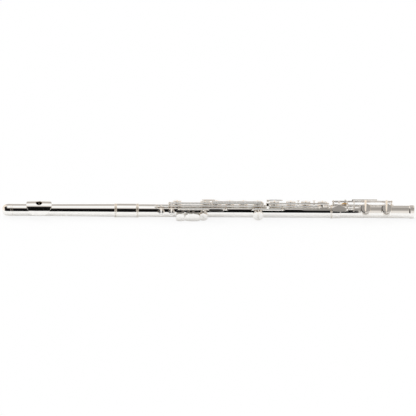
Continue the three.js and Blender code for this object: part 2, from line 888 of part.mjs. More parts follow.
// E flat: a wide paddle on the near side and its cup on the far side.
const paddleReach = 21.2;
const paddleLength = 31;
const footTouchThickness = 1.4;
const paddleShares = [
  [14, 1.06, 0.07, 0.07],
  [30, 1.07, 0.07, 0.07],
  [44, 1.05, 0.09, 0.09],
  [55, 1.02, 0.2, 0.22],
  [62, 1, 0.4, 0.44],
  [69, 0.985, 0.49, 0.5],
  [77, 0.975, 0.5, 0.5],
  [83, 0.97, 0.42, 0.5],
  [86, 0.97, 0.1, 0.46],
];
function eFlatKey() {
  const ends = postToJoint(footX[0], footX[1]);
  const at = along(paddleShare);
  const pieces = [
    hingeTube(...ends, footAt),
    arm(footLine, holes.eFlat, ends[1] - armWidth / 2),
    cup(holes.eFlat, wideCupRadius),
    bandFromHinge(footLine, paddleShares, paddleReach, at, paddleLength, footTouchThickness),
  ];
  return finished(pieces, ...ends, footAt);
}

// Low C sharp and low C: touches with rollers beside the paddle, cups on the near side.
const rollerRadius = 1.8;
const rollerPinRadius = 0.7;
const rollerLength = 10;
const rollerLugWidth = 1.2;
const rollerSides = 10;
const rollerEnd = footX[2] + fitGap / 2;
const rollerStart = rollerEnd - rollerLength;
const touchReach = 22.3;
const cSharpRollerTurn = 64.5;
const cRollerTurn = 78.5;
const cSharpRoller = polar(cSharpRollerTurn, touchReach);
const cRoller = polar(cRollerTurn, touchReach);
const touchArmWidth = 2.6;
const touchArmPathShares = [
  [14, 1.02, 0.5, 0.5],
  [30, 1.04, 0.5, 0.5],
  [44, 1.02, 0.5, 0.5],
];

// The pin and end lugs of a roller, joined to the touch by the given band.
function rollerSeat(at) {
  const lug = (from) => rod(rollerPinRadius * 2, from, from + rollerLugWidth, at, rollerSides);
  const pinStart = rollerStart - fitGap - rollerLugWidth;
  const pinEnd = rollerEnd + fitGap + rollerLugWidth;
  return [rod(rollerPinRadius, pinStart, pinEnd, at), lug(pinStart), lug(rollerEnd + fitGap)];
}

function roller(at) {
  const ends = [rollerStart, rollerEnd];
  const body = rod(rollerRadius, ...ends, at, rollerSides);
  return joined([body], [rod(rollerPinRadius + fitGap, rollerStart - overrun, rollerEnd + overrun, at)]);
}

function touchArm(at, lastRows) {
  const rows = [...touchArmPathShares, ...lastRows];
  return bandFromHinge(footLine, rows, touchReach, at, touchArmWidth, footTouchThickness);
}

const touchPlateLength = rollerLength + 2 * (fitGap + rollerLugWidth);
const touchPlateAt = (rollerStart + rollerEnd) / 2;
const cSharpTouchShares = [
  [50, 1, 0.42, 0.5],
  [54, 0.99, 0.5, 0.5],
  [57.5, 0.98, 0.5, 0.5],
];
const cSharpArmEndShares = [
  [50, 1, 0.5, 0.5],
  [56, 0.985, 0.5, 0.5],
];
const cArmEndShares = [
  [56, 1.09, 0.5, 0.5],
  [66, 1.13, 0.5, 0.5],
  [77, 1.13, 0.5, 0.5],
  [88, 0.99, 0.5, 0.5],
];
const lugPlateShares = [
  [-8.5, 0.985, 0.5, 0.5],
  [-4.5, 0.985, 0.5, 0.5],
  [0, 0.985, 0.5, 0.5],
];

// Touch of the low C key: its left end reaches to the arm, whose share is 1.
const cTouchShares = [
  [85, 0.98, 1, 0.5],
  [89, 0.98, 1, 0.5],
  [94, 0.97, 0.83, 0.4],
];
function cTouch(armStart) {
  const leftReach = (touchPlateAt - armStart) / touchPlateLength;
  const rows = cTouchShares.map(([turn, out, left, right]) => [turn, out, left * leftReach, right]);
  return sweptBand(rows, touchReach, touchPlateAt, touchPlateLength, footTouchThickness);
}

// A lug plate between the touch and a roller's pin, on the side that the way names.
function lugPlate(from, rollerTurn, way) {
  const at = from + rollerLugWidth / 2;
  const rows = lugPlateShares.map(([turn, ...shares]) => [rollerTurn + way * turn, ...shares]);
  return sweptBand(way > 0 ? rows : rows.reverse(), touchReach, at, rollerLugWidth, rollerPinRadius * 2);
}

const lugStarts = [rollerStart - fitGap - rollerLugWidth, rollerEnd + fitGap];

function lowCSharpKey() {
  const ends = betweenJoints(footX[2], footX[3]);
  const pieces = [
    hingeTube(...ends, footAt),
    arm(footLine, holes.lowCSharp),
    cup(holes.lowCSharp, wideCupRadius),
    touchArm(ends[0] + touchArmWidth / 2, cSharpArmEndShares),
    sweptBand(cSharpTouchShares, touchReach, touchPlateAt, touchPlateLength, footTouchThickness),
    ...rollerSeat(cSharpRoller),
    ...lugStarts.map((from) => lugPlate(from, cSharpRollerTurn, 1)),
  ];
  return finished(pieces, ...ends, footAt);
}

const yokeRise = 3.6;
const yokeRadius = 1.2;
const yokeArmWidth = 3;

// One upright of the bar that joins the two halves of the low C key.
function yokeUpright(at) {
  const [y, z] = footAt;
  const [low, high] = [at - yokeArmWidth / 2, at + yokeArmWidth / 2];
  return band([[y, z, low, high, yokeRadius * 2], [y, z + yokeRise, low, high, yokeRadius * 2]]);
}

function lowCKey() {
  const left = betweenJoints(footX[1], footX[2]);
  const right = jointToPost(footX[3], footX[4]);
  const yokeAt = [footAt[0], footAt[1] + yokeRise];
  const yokeEnds = [left[1] - yokeArmWidth, right[0] + yokeArmWidth];
  const pieces = [
    hingeTube(...left, footAt),
    hingeTube(...right, footAt),
    rod(yokeRadius, ...yokeEnds, yokeAt, hingeSides),
    yokeUpright(yokeEnds[0] + yokeArmWidth / 2),
    yokeUpright(yokeEnds[1] - yokeArmWidth / 2),
    arm(footLine, holes.lowC),
    cup(holes.lowC, wideCupRadius),
    touchArm(left[0] + touchArmWidth / 2, cArmEndShares),
    cTouch(left[0]),
    ...rollerSeat(cRoller),
    ...lugStarts.map((from) => lugPlate(from, cRollerTurn, -1)),
  ];
  return finished(pieces, left[0], right[1], footAt);
}

// Materials
function silver() {
  return new THREE.MeshStandardMaterial({ color: 0xdcdddf, roughness: 0.12, metalness: 1 });
}
function steelGrey() {
  return new THREE.MeshStandardMaterial({ color: 0xa9abae, roughness: 0.3, metalness: 1 });
}
function padSkin() {
  return new THREE.MeshStandardMaterial({ color: 0xd9a867, roughness: 0.7, metalness: 0 });
}
function cork() {
  return new THREE.MeshStandardMaterial({ color: 0xb98a5a, roughness: 0.9, metalness: 0 });
}
function brass() {
  return new THREE.MeshStandardMaterial({ color: 0xc9ae6e, roughness: 0.35, metalness: 1 });
}

function mesh(name, geometry, material) {
  const piece = new THREE.Mesh(geometry, material);
  piece.name = name;
  return piece;
}

// A key that turns about its hinge line, standing some degrees from closed.
function keyGroup(line, standTurn, pieces) {
  const [y, z] = polar(line.turn, line.distance);
  const group = new THREE.Group();
  group.position.set(0, y, z);
  group.rotation.x = standTurn * degree;
  for (const piece of pieces) {
    piece.geometry.translate(0, -y, -z);
    group.add(piece);
  }
  return group;
}

function padMesh(name, hole, radius) {
  return mesh(name, pad(hole, radius), padSkin());
}

function headJoint() {
  const group = new THREE.Group();
  group.add(mesh("crown", crown(), silver()));
  group.add(mesh("stopper_screw", stopperScrew(), brass()));
  group.add(mesh("stopper_cork", stopperRing(corkStart, corkEnd), cork()));
  const plateEnd = corkStart - fitGap;
  group.add(mesh("stopper_plate", stopperRing(plateEnd - stopperPlateThickness, plateEnd), brass()));
  group.add(mesh("head_tube", headTube(), silver()));
  group.add(mesh("embouchure_riser", embouchureRiser(), silver()));
  group.add(mesh("lip_plate", lipPlate(), silver()));
  return group;
}

function bodyJoint() {
  const group = new THREE.Group();
  group.add(mesh("barrel", barrel(), silver()));
  group.add(mesh("body_tube", bodyTube(), silver()));
  group.add(mesh("main_rib_with_posts", mainRib(), silver()));
  const thumbRib = sideRib(thumbRibShares, [thumbX[0], thumbX[3]], holes.thumb);
  const gSharpRib = sideRib(gSharpRibShares, gSharpX, holes.gSharp);
  group.add(mesh("thumb_rib_with_posts", thumbRib, silver()));
  group.add(mesh("g_sharp_rib_with_posts", gSharpRib, silver()));
  group.add(mesh("main_rod_upper", steel(upperX[0], upperX[5], mainAt), steelGrey()));
  group.add(mesh("main_rod_lower", steel(lowerX[0], lowerX[4], mainAt), steelGrey()));
  group.add(mesh("g_sharp_rod", steel(gSharpX[0], gSharpX[1], sideAt), steelGrey()));
  return group;
}

// One stack key with its pads, standing open.
function stackGroup(name, ends, keyHoles, radius, padNames, extras = []) {
  const pieces = [mesh(name, stackKey(ends, keyHoles, radius, extras), silver())];
  keyHoles.forEach((hole, i) => pieces.push(padMesh(padNames[i], hole, radius)));
  return keyGroup(mainLine, openTurn, pieces);
}

function stackKeys() {
  const group = new THREE.Group();
  const cSharpEnds = postToJoint(upperX[0], upperX[1]);
  const cEnds = jointToPost(upperX[1], upperX[2]);
  const bFlatEnds = postToJoint(upperX[2], upperX[3]);
  const aEnds = betweenJoints(upperX[3], upperX[4]);
  const gEnds = jointToPost(upperX[4], upperX[5]);
  group.add(stackGroup("c_sharp_key", cSharpEnds, [holes.cSharp], cSharpCupRadius, ["c_sharp_pad"]));
  group.add(stackGroup("c_key", cEnds, [holes.c], mainCupRadius, ["c_pad"], [cPlate()]));
  const bFlat = [[holes.bFlat], mainCupRadius, ["b_flat_pad"], [bridge(bFlatEnds)]];
  group.add(stackGroup("b_flat_key", bFlatEnds, ...bFlat));
  group.add(stackGroup("a_key", aEnds, [holes.a], mainCupRadius, ["a_pad"], [bridge(aEnds)]));
  const gPads = ["g_pad", "low_g_pad"];
  group.add(stackGroup("g_key", gEnds, [holes.g, holes.lowG], mainCupRadius, gPads, [bridge(gEnds)]));
  const lowerEnds = [
    postToJoint(lowerX[0], lowerX[1]),
    betweenJoints(lowerX[1], lowerX[2]),
    betweenJoints(lowerX[2], lowerX[3]),
    jointToPost(lowerX[3], lowerX[4]),
  ];
  const lowerHoles = [holes.fSharp, holes.f, holes.e, holes.d];
  ["f_sharp", "f", "e", "d"].forEach((note, i) => {
    const padNames = [`${note}_pad`];
    group.add(stackGroup(`${note}_key`, lowerEnds[i], [lowerHoles[i]], mainCupRadius, padNames));
  });
  return group;
}

function sideKeys() {
  const group = new THREE.Group();
  group.add(keyGroup(trillLine, 0, [
    mesh("trill_d_sharp_key", trillDSharpKey(), silver()),
    padMesh("trill_d_sharp_pad", holes.trillDSharp, trillCupRadius),
  ]));
  group.add(keyGroup(trillLine, 0, [
    mesh("trill_d_key", trillDKey(), silver()),
    padMesh("trill_d_pad", holes.trillD, trillCupRadius),
  ]));
  group.add(keyGroup(sideLine, -thumbOpenTurn, [
    mesh("thumb_b_key", thumbBKey(), silver()),
    padMesh("thumb_b_pad", holes.thumb, thumbCupRadius),
  ]));
  group.add(keyGroup(sideLine, -thumbOpenTurn, [mesh("thumb_b_flat_key", thumbBFlatKey(), silver())]));
  group.add(keyGroup(sideLine, 0, [
    mesh("g_sharp_key", gSharpKey(), silver()),
    padMesh("g_sharp_pad", holes.gSharp, wideCupRadius),
  ]));
  return group;
}

function footJoint() {
  const group = new THREE.Group();
  group.add(mesh("foot_tube", footTube(), silver()));
  group.add(mesh("foot_rib_with_posts", footRib(), silver()));
  group.add(mesh("foot_rod", steel(footX[0], footX[4], footAt), steelGrey()));
  group.add(keyGroup(footLine, 0, [
    mesh("e_flat_key", eFlatKey(), silver()),
    padMesh("e_flat_pad", holes.eFlat, wideCupRadius),
  ]));
  group.add(keyGroup(footLine, -openTurn, [
    mesh("low_c_sharp_key", lowCSharpKey(), silver()),
    padMesh("low_c_sharp_pad", holes.lowCSharp, wideCupRadius),
    mesh("low_c_sharp_roller", roller(cSharpRoller), silver()),
  ]));
  group.add(keyGroup(footLine, -openTurn, [
    mesh("low_c_key", lowCKey(), silver()),
    padMesh("low_c_pad", holes.lowC, wideCupRadius),
    mesh("low_c_roller", roller(cRoller), silver()),
  ]));
  return group;
}

const flute = new THREE.Group();
flute.add(headJoint(), bodyJoint(), stackKeys(), sideKeys(), footJoint());
flute.rotation.x = restingTurn * degree;

// The origin is under the middle of the flute, on the surface that it lies on.
const bounds = new THREE.Box3().setFromObject(flute, true);
const middle = bounds.getCenter(new THREE.Vector3());
flute.position.set(-middle.x, -middle.y, -bounds.min.z);

export default flute;
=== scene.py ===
"""An alto flute: polished silver, skin pads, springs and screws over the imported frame, on a white table.

All shapes are worked out in millimetres in the flute's own frame: X runs from the crown to the
foot, Z points up through the main keys and the player sits on the -Y side. Turns are degrees about
the tube, from +Z to -Y. Keys are drawn closed, then turned about their hinge line to where they rest.
"""

import math

import bpy
import numpy as np
from bpy.props import FloatProperty, FloatVectorProperty, IntProperty, PointerProperty
from mathutils import Matrix, Vector


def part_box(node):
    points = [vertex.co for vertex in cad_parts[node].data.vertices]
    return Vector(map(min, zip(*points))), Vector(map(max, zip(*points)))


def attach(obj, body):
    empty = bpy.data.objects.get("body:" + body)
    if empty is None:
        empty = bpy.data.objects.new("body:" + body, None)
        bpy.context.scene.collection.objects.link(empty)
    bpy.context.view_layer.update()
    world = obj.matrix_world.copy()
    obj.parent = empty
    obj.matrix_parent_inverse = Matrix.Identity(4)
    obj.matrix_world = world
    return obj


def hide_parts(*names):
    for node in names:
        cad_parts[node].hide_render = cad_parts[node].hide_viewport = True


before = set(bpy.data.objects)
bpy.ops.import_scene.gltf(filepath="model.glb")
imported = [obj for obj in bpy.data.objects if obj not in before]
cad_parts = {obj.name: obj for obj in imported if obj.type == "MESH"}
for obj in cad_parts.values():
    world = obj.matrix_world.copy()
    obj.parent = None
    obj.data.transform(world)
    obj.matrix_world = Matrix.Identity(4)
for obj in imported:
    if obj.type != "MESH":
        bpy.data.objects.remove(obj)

bl_info = {
    "name": "Alto flute",
    "version": (1, 0, 0),
    "blender": (4, 5, 0),
    "location": "3D View > Sidebar > Flute",
    "description": "Builds the silver, pads, springs and screws of an alto flute over its packed frame",
    "category": "Object",
}

# Where the flute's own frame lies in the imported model's frame. It rests on the barrel's rings.
RESTING_TURN = math.radians(-22.3)
CROWN_LOW, CROWN_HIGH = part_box("crown")
AXIS_START = CROWN_LOW.x
AXIS_Y = (CROWN_LOW.y + CROWN_HIGH.y) / 2
AXIS_Z = (CROWN_LOW.z + CROWN_HIGH.z) / 2
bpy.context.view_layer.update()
BARREL_RING = 1000 * (AXIS_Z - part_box("barrel")[0].z)

# Lengths along the tube, counted from the crown's end
EMBOUCHURE_AT = 79.0
SOUNDING_LENGTH = 791.0
FLUTE_LENGTH = 870.0


def along(share):
    """A place along the flute: the embouchure's place plus a share of the sounding length."""
    return EMBOUCHURE_AT + np.asarray(share) * SOUNDING_LENGTH


# Posts along each hinge line, and the joints where one hinge tube meets the next
UPPER = along([0.3477, 0.4022, 0.4579, 0.4906, 0.5261, 0.5962])
LOWER = along([0.6075, 0.6487, 0.6904, 0.7322, 0.7699])
TRILL = along([0.313, 0.3424, 0.6018, 0.694, 0.7459])
THUMB = along([0.373, 0.3903, 0.4522, 0.4981])
G_SHARP = along([0.5702, 0.6485])
FOOT = along([0.7838, 0.8192, 0.8374, 0.8965, 0.9389])

# Ends of the tubes: the head goes into the barrel, and the body into the socket of the foot
BODY_START, BODY_END = along([0.2326, 0.8003])
HEAD_START, HEAD_END = 23.5, BODY_START - 5
FOOT_START, FOOT_SHOULDER = BODY_END - 19, BODY_END + 1.2

# Hinge lines: turn round the tube and distance from its axis
LINES = {"main": (41.9, 23.2), "trill": (52.2, 19.0), "side": (73.8, 19.5), "foot": (0.0, 21.1)}

# Tone holes: share of the sounding length, turn, the radius and rim of their size, and their cup
MAIN_RIM = 15.1
MAIN_HOLE = (8.5, MAIN_RIM)
TRILL_HOLE = (4.6, 14.7)
MAIN_CUP, WIDE_CUP, TRILL_CUP = 10.5, 11.0, 7.2
TONE_HOLES = {
    "trill_d_sharp": (0.3255, 98, TRILL_HOLE, TRILL_CUP),
    "trill_d": (0.3527, 98, TRILL_HOLE, TRILL_CUP),
    "c_sharp": (0.3679, 0, MAIN_HOLE, 9.5),
    "c": (0.4425, 0, MAIN_HOLE, MAIN_CUP),
    "thumb_b": (0.4377, 129, MAIN_HOLE, 9.75),
    "b_flat": (0.4733, 0, MAIN_HOLE, MAIN_CUP),
    "a": (0.508, 0, MAIN_HOLE, MAIN_CUP),
    "g": (0.5442, 0, MAIN_HOLE, MAIN_CUP),
    "low_g": (0.5825, 0, MAIN_HOLE, MAIN_CUP),
    "g_sharp": (0.5839, 119.5, MAIN_HOLE, WIDE_CUP),
    "f_sharp": (0.6271, 0, MAIN_HOLE, MAIN_CUP),
    "f": (0.6707, 0, MAIN_HOLE, MAIN_CUP),
    "e": (0.7105, 0, MAIN_HOLE, MAIN_CUP),
    "d": (0.7547, 0, MAIN_HOLE, MAIN_CUP),
    "e_flat": (0.8143, -65, MAIN_HOLE, WIDE_CUP),
    "low_c_sharp": (0.8698, 71.5, MAIN_HOLE, WIDE_CUP),
    "low_c": (0.9256, 71.5, MAIN_HOLE, WIDE_CUP),
}
FOOT_HOLES = ("e_flat", "low_c_sharp", "low_c")
BODY_HOLES = tuple(name for name in TONE_HOLES if name not in FOOT_HOLES)

# Gaps and walls, where a closed pad and its cup lie, and radii of the steels, hinge tubes and balls
CHIMNEY_WALL = 0.9
FIT_GAP = 0.3
PAD_SHOWN = 1.9
PAD_SEAT = MAIN_RIM + FIT_GAP
CUP_SEAT = PAD_SEAT + PAD_SHOWN
STEEL = 1.0
HINGE = 2.0
SLEEVE = 1.8
POST_BALL = 2.6
TRILL_BALL = 2.2
SLEEVE_BALL = 3.0
RIB_INNER, RIB_OUTER = 13.8, 15.0
SOCKET_RIB_INNER, SOCKET_RIB_OUTER = 14.6, 15.8


class Hole:
    """A tone hole: where it is, which way it faces, how wide and high it is, and its cup's radius."""

    def __init__(self, name):
        share, self.turn, (self.radius, self.rim), self.cup = TONE_HOLES[name]
        self.x = float(along(share))
        self.drop = MAIN_RIM - self.rim


HOLES = {name: Hole(name) for name in TONE_HOLES}


class FluteSizes(bpy.types.PropertyGroup):
    """Sizes of the silverwork that a maker would change."""

    tube_radius: FloatProperty(
        name="Tube radius", description="Outside radius of the body tube", default=0.0135, subtype="DISTANCE"
    )
    tube_wall: FloatProperty(
        name="Tube wall", description="Thickness of the drawn tube", default=0.0005, subtype="DISTANCE"
    )
    cup_height: FloatProperty(
        name="Cup height", description="Height of a cup above its pad", default=0.0015, subtype="DISTANCE"
    )
    cup_dome: FloatProperty(
        name="Cup dome", description="Rise of a key cup's top", default=0.0006, subtype="DISTANCE"
    )
    arm_width: FloatProperty(
        name="Arm width", description="Width of a cup arm at its hinge", default=0.004, subtype="DISTANCE"
    )
    arm_rise: FloatProperty(
        name="Arm rise", description="Height of a cup arm's arch", default=0.0023, subtype="DISTANCE"
    )
    pad_thickness: FloatProperty(
        name="Pad thickness", description="Thickness of a pad", default=0.0026, subtype="DISTANCE"
    )
    tube_sides: IntProperty(name="Tube facets", description="Facets round a tube", default=80, min=24)
    cup_sides: IntProperty(name="Cup facets", description="Facets round a cup", default=56, min=16)


class FluteColours(bpy.types.PropertyGroup):
    """Colours of the metals, the pads and the cork."""

    silver: FloatVectorProperty(
        name="Silver", description="Polished silver", default=(0.96, 0.945, 0.918), subtype="COLOR"
    )
    steel: FloatVectorProperty(
        name="Steel", description="Ground hinge steel", default=(0.62, 0.61, 0.6), subtype="COLOR"
    )
    pad_skin: FloatVectorProperty(
        name="Pad skin", description="Stretched pad skin", default=(0.86, 0.49, 0.18), subtype="COLOR"
    )
    cork: FloatVectorProperty(
        name="Cork", description="Stopper cork", default=(0.48, 0.26, 0.12), subtype="COLOR"
    )
    brass: FloatVectorProperty(
        name="Brass", description="Stopper brass", default=(0.78, 0.58, 0.3), subtype="COLOR"
    )


class StageSettings(bpy.types.PropertyGroup):
    """The table, the light and the camera."""

    table: FloatVectorProperty(
        name="Table", description="Colour of the table", default=(0.8, 0.8, 0.8), subtype="COLOR"
    )
    floor_white: FloatProperty(
        name="White of the table", description="Share of plain white that the camera sees", default=0.84
    )
    floor_glow: FloatProperty(
        name="Glow of the table", description="White added for the camera and in metal", default=0.21
    )
    ambient: FloatProperty(name="Ambient", description="Even light from all round", default=0.7)
    lamp: FloatProperty(name="Lamp", description="Strength of the soft lamp overhead", default=0.95)
    elevation: FloatProperty(
        name="Elevation",
        description="Angle at which the camera looks down",
        default=math.radians(27.3),
        subtype="ANGLE",
    )
    width: FloatProperty(
        name="Width", description="Width of the camera's view", default=0.8765, subtype="DISTANCE"
    )


def mm(name):
    """One of the flute's sizes in millimetres."""
    return 1000 * getattr(bpy.context.scene.flute_sizes, name)


# Places and directions


def polar(turn, distance):
    """Y and Z of a point round the tube: (-distance sin turn, distance cos turn)."""
    turn = np.radians(turn)
    return -distance * np.sin(turn), distance * np.cos(turn)


def at_line(name):
    """Y and Z of a hinge line."""
    return polar(*LINES[name])


def turned_about(points, centre, angle):
    """Points turned about a line along X: the usual rotation of Y and Z about its centre."""
    y, z = points[..., 1] - centre[0], points[..., 2] - centre[1]
    turned_y = y * math.cos(angle) - z * math.sin(angle) + centre[0]
    turned_z = y * math.sin(angle) + z * math.cos(angle) + centre[1]
    return np.stack([points[..., 0], turned_y, turned_z], -1)


def on_tube(grid, x, turn):
    """From (along, across, out) at a place round the tube to the flute's frame: a turn about its axis."""
    return turned_about(grid + np.array([x, 0.0, 0.0]), (0.0, 0.0), math.radians(turn))


def over_hole(grid, hole):
    """The same from a place over a tone hole."""
    return on_tube(grid, hole.x, hole.turn)


def laid_down(points):
    """From the flute's frame to the table: a turn about the tube, then to where the crown lies."""
    turned = turned_about(points, (0.0, 0.0), RESTING_TURN) / 1000
    return turned + np.array([AXIS_START, AXIS_Y, AXIS_Z])


# Curves and outlines


def through(rows, places):
    """Smooth values through rows, at places counted in rows. Between P1 and P2 with t from 0 to 1:
    half of 2 P1 + (P2 - P0) t + (2 P0 - 5 P1 + 4 P2 - P3) t2 + (3 P1 - P0 - 3 P2 + P3) t3."""
    rows = np.asarray(rows, float)
    padded = np.vstack([2 * rows[0] - rows[1], rows, 2 * rows[-1] - rows[-2]])
    step = np.clip(places.astype(int), 0, len(rows) - 2)
    t = (places - step)[:, None]
    p0, p1, p2, p3 = (padded[step + i] for i in range(4))
    cubic = 3 * p1 - p0 - 3 * p2 + p3
    return (2 * p1 + (p2 - p0) * t + (2 * p0 - 5 * p1 + 4 * p2 - p3) * t**2 + cubic * t**3) / 2


def close_at_ends(count):
    """Numbers from 0 to 1 that crowd at both ends: (1 - cos(pi k)) / 2."""
    return (1 - np.cos(np.linspace(0, np.pi, count))) / 2


def softened(outline, radius, closed=False, steps=4):
    """Rounds the corners of an outline. Corner B becomes (1-t)2 A + 2t(1-t) B + t2 C, where A and C
    are one radius from B on its two sides, with one more point just outside each of them."""
    points = np.asarray(outline, float)
    radius = np.broadcast_to(np.asarray(radius, float), (len(points),))[:, None]

    def toward(other, reach, most):
        gap = other - points
        length = np.maximum(np.linalg.norm(gap, axis=1, keepdims=True), 1e-9)
        return points + gap * np.minimum(reach / length, most)

    before, after = np.roll(points, 1, 0), np.roll(points, -1, 0)
    a, c = toward(before, radius, 0.42), toward(after, radius, 0.42)
    t = np.linspace(0, 1, steps + 1)[:, None, None]
    curve = (1 - t) ** 2 * a + 2 * t * (1 - t) * points + t**2 * c
    guards = toward(before, radius * 1.25, 0.49)[None], toward(after, radius * 1.25, 0.49)[None]
    curve = np.concatenate([guards[0], curve, guards[1]]).transpose(1, 0, 2)
    if closed:
        return curve.reshape(-1, 2)
    return np.vstack([points[:1], curve[1:-1].reshape(-1, 2), points[-1:]])


def turned_up(profile, sides):
    """A profile of (radius, height) turned about the upright axis: (r cos k, r sin k, h)."""
    k = np.linspace(0, 2 * np.pi, sides, endpoint=False)
    r, h = np.asarray(profile, float).T
    return np.stack([np.outer(r, np.cos(k)), np.outer(r, np.sin(k)), np.outer(h, np.ones(sides))], -1)


def turned_along(profile, sides=None, at=(0.0, 0.0)):
    """A profile of (radius, place) turned about a line along X: (p, y + r cos k, z + r sin k), with as
    many facets as a tube has where no number is given."""
    sides = sides or bpy.context.scene.flute_sizes.tube_sides
    k = np.linspace(0, 2 * np.pi, sides, endpoint=False)
    r, p = np.asarray(profile, float).T
    y, z = at[0] + np.outer(r, np.cos(k)), at[1] + np.outer(r, np.sin(k))
    return np.stack([np.outer(p, np.ones(sides)), y, z], -1)


def section(flats=5, steps=4):
    """A rounded rectangle as four columns: shares of the flat half width and half thickness, and the
    way out from each corner's centre, (cos k, sin k) over a quarter turn at each corner. The wide
    sides have points near their ends, which keep them flat there."""
    columns = []
    for corner, (x, y) in enumerate([(1, 1), (-1, 1), (-1, -1), (1, -1)]):
        k = np.radians(np.linspace(0, 90, steps + 1) + 90 * corner)
        arc = np.stack([np.full(len(k), x), np.full(len(k), y), np.cos(k), np.sin(k)], -1)
        columns.append(arc)
        if corner in (0, 2):
            shares = x * np.concatenate([[0.93], np.linspace(0.6, -0.6, flats - 2), [-0.93]])
            zeros = np.zeros(flats)
            columns.append(np.stack([shares, np.full(flats, y), zeros, np.full(flats, y)], -1))
    return np.vstack(columns)


def swept(path, half_widths, half_thickness, rounding=0.5, side=(1, 0, 0), flats=5, steps=4, ridge=0.0):
    """A rounded rectangle carried along a path: centre + side * a + normal * b, where the normal is
    the side crossed with the path's direction and (a, b) runs round the rounded rectangle. A ridge
    lifts its upper side by ridge (half width - |a|)."""
    path = np.asarray(path, float)
    ahead = np.gradient(path, axis=0)
    side = np.broadcast_to(np.asarray(side, float), path.shape)
    normal = np.cross(side, ahead)
    normal /= np.maximum(np.linalg.norm(normal, axis=1, keepdims=True), 1e-9)
    wide, thick, lift = (
        np.broadcast_to(values, (len(path),))[:, None] for values in (half_widths, half_thickness, ridge)
    )
    corner = np.minimum(np.minimum(wide, thick) * 0.98, rounding)
    sx, sy, ox, oy = section(flats, steps).T
    a = sx * (wide - corner) + corner * ox
    b = sy * (thick - corner) + corner * oy
    b = b + lift * np.where(sy > 0, wide - np.abs(a), 0.0)
    return path[:, None] + side[:, None] * a[..., None] + normal[:, None] * b[..., None]


def end_rounding(path, start, end):
    """How wide a band is near its ends: sqrt(1 - (1 - d/r)2) within r of an end, but never under a
    fiftieth, and 1 elsewhere."""
    steps = np.linalg.norm(np.diff(path, axis=0), axis=1)
    run = np.concatenate([[0.0], np.cumsum(steps)])

    def share(distance, radius):
        if radius <= 0:
            return 1.0
        return np.sqrt(np.maximum(1 - (1 - np.minimum(distance / radius, 1)) ** 2, 0.0004))

    return share(run, start) * share(run[-1] - run, end)


# Skins and pieces


def signed_volume(corners, triangles):
    """Six times the volume inside triangles: the sum of a . (b x c)."""
    a, b, c = (corners[triangles[:, i]] for i in range(3))
    return float(np.einsum("ij,ij->i", a, np.cross(b, c)).sum())


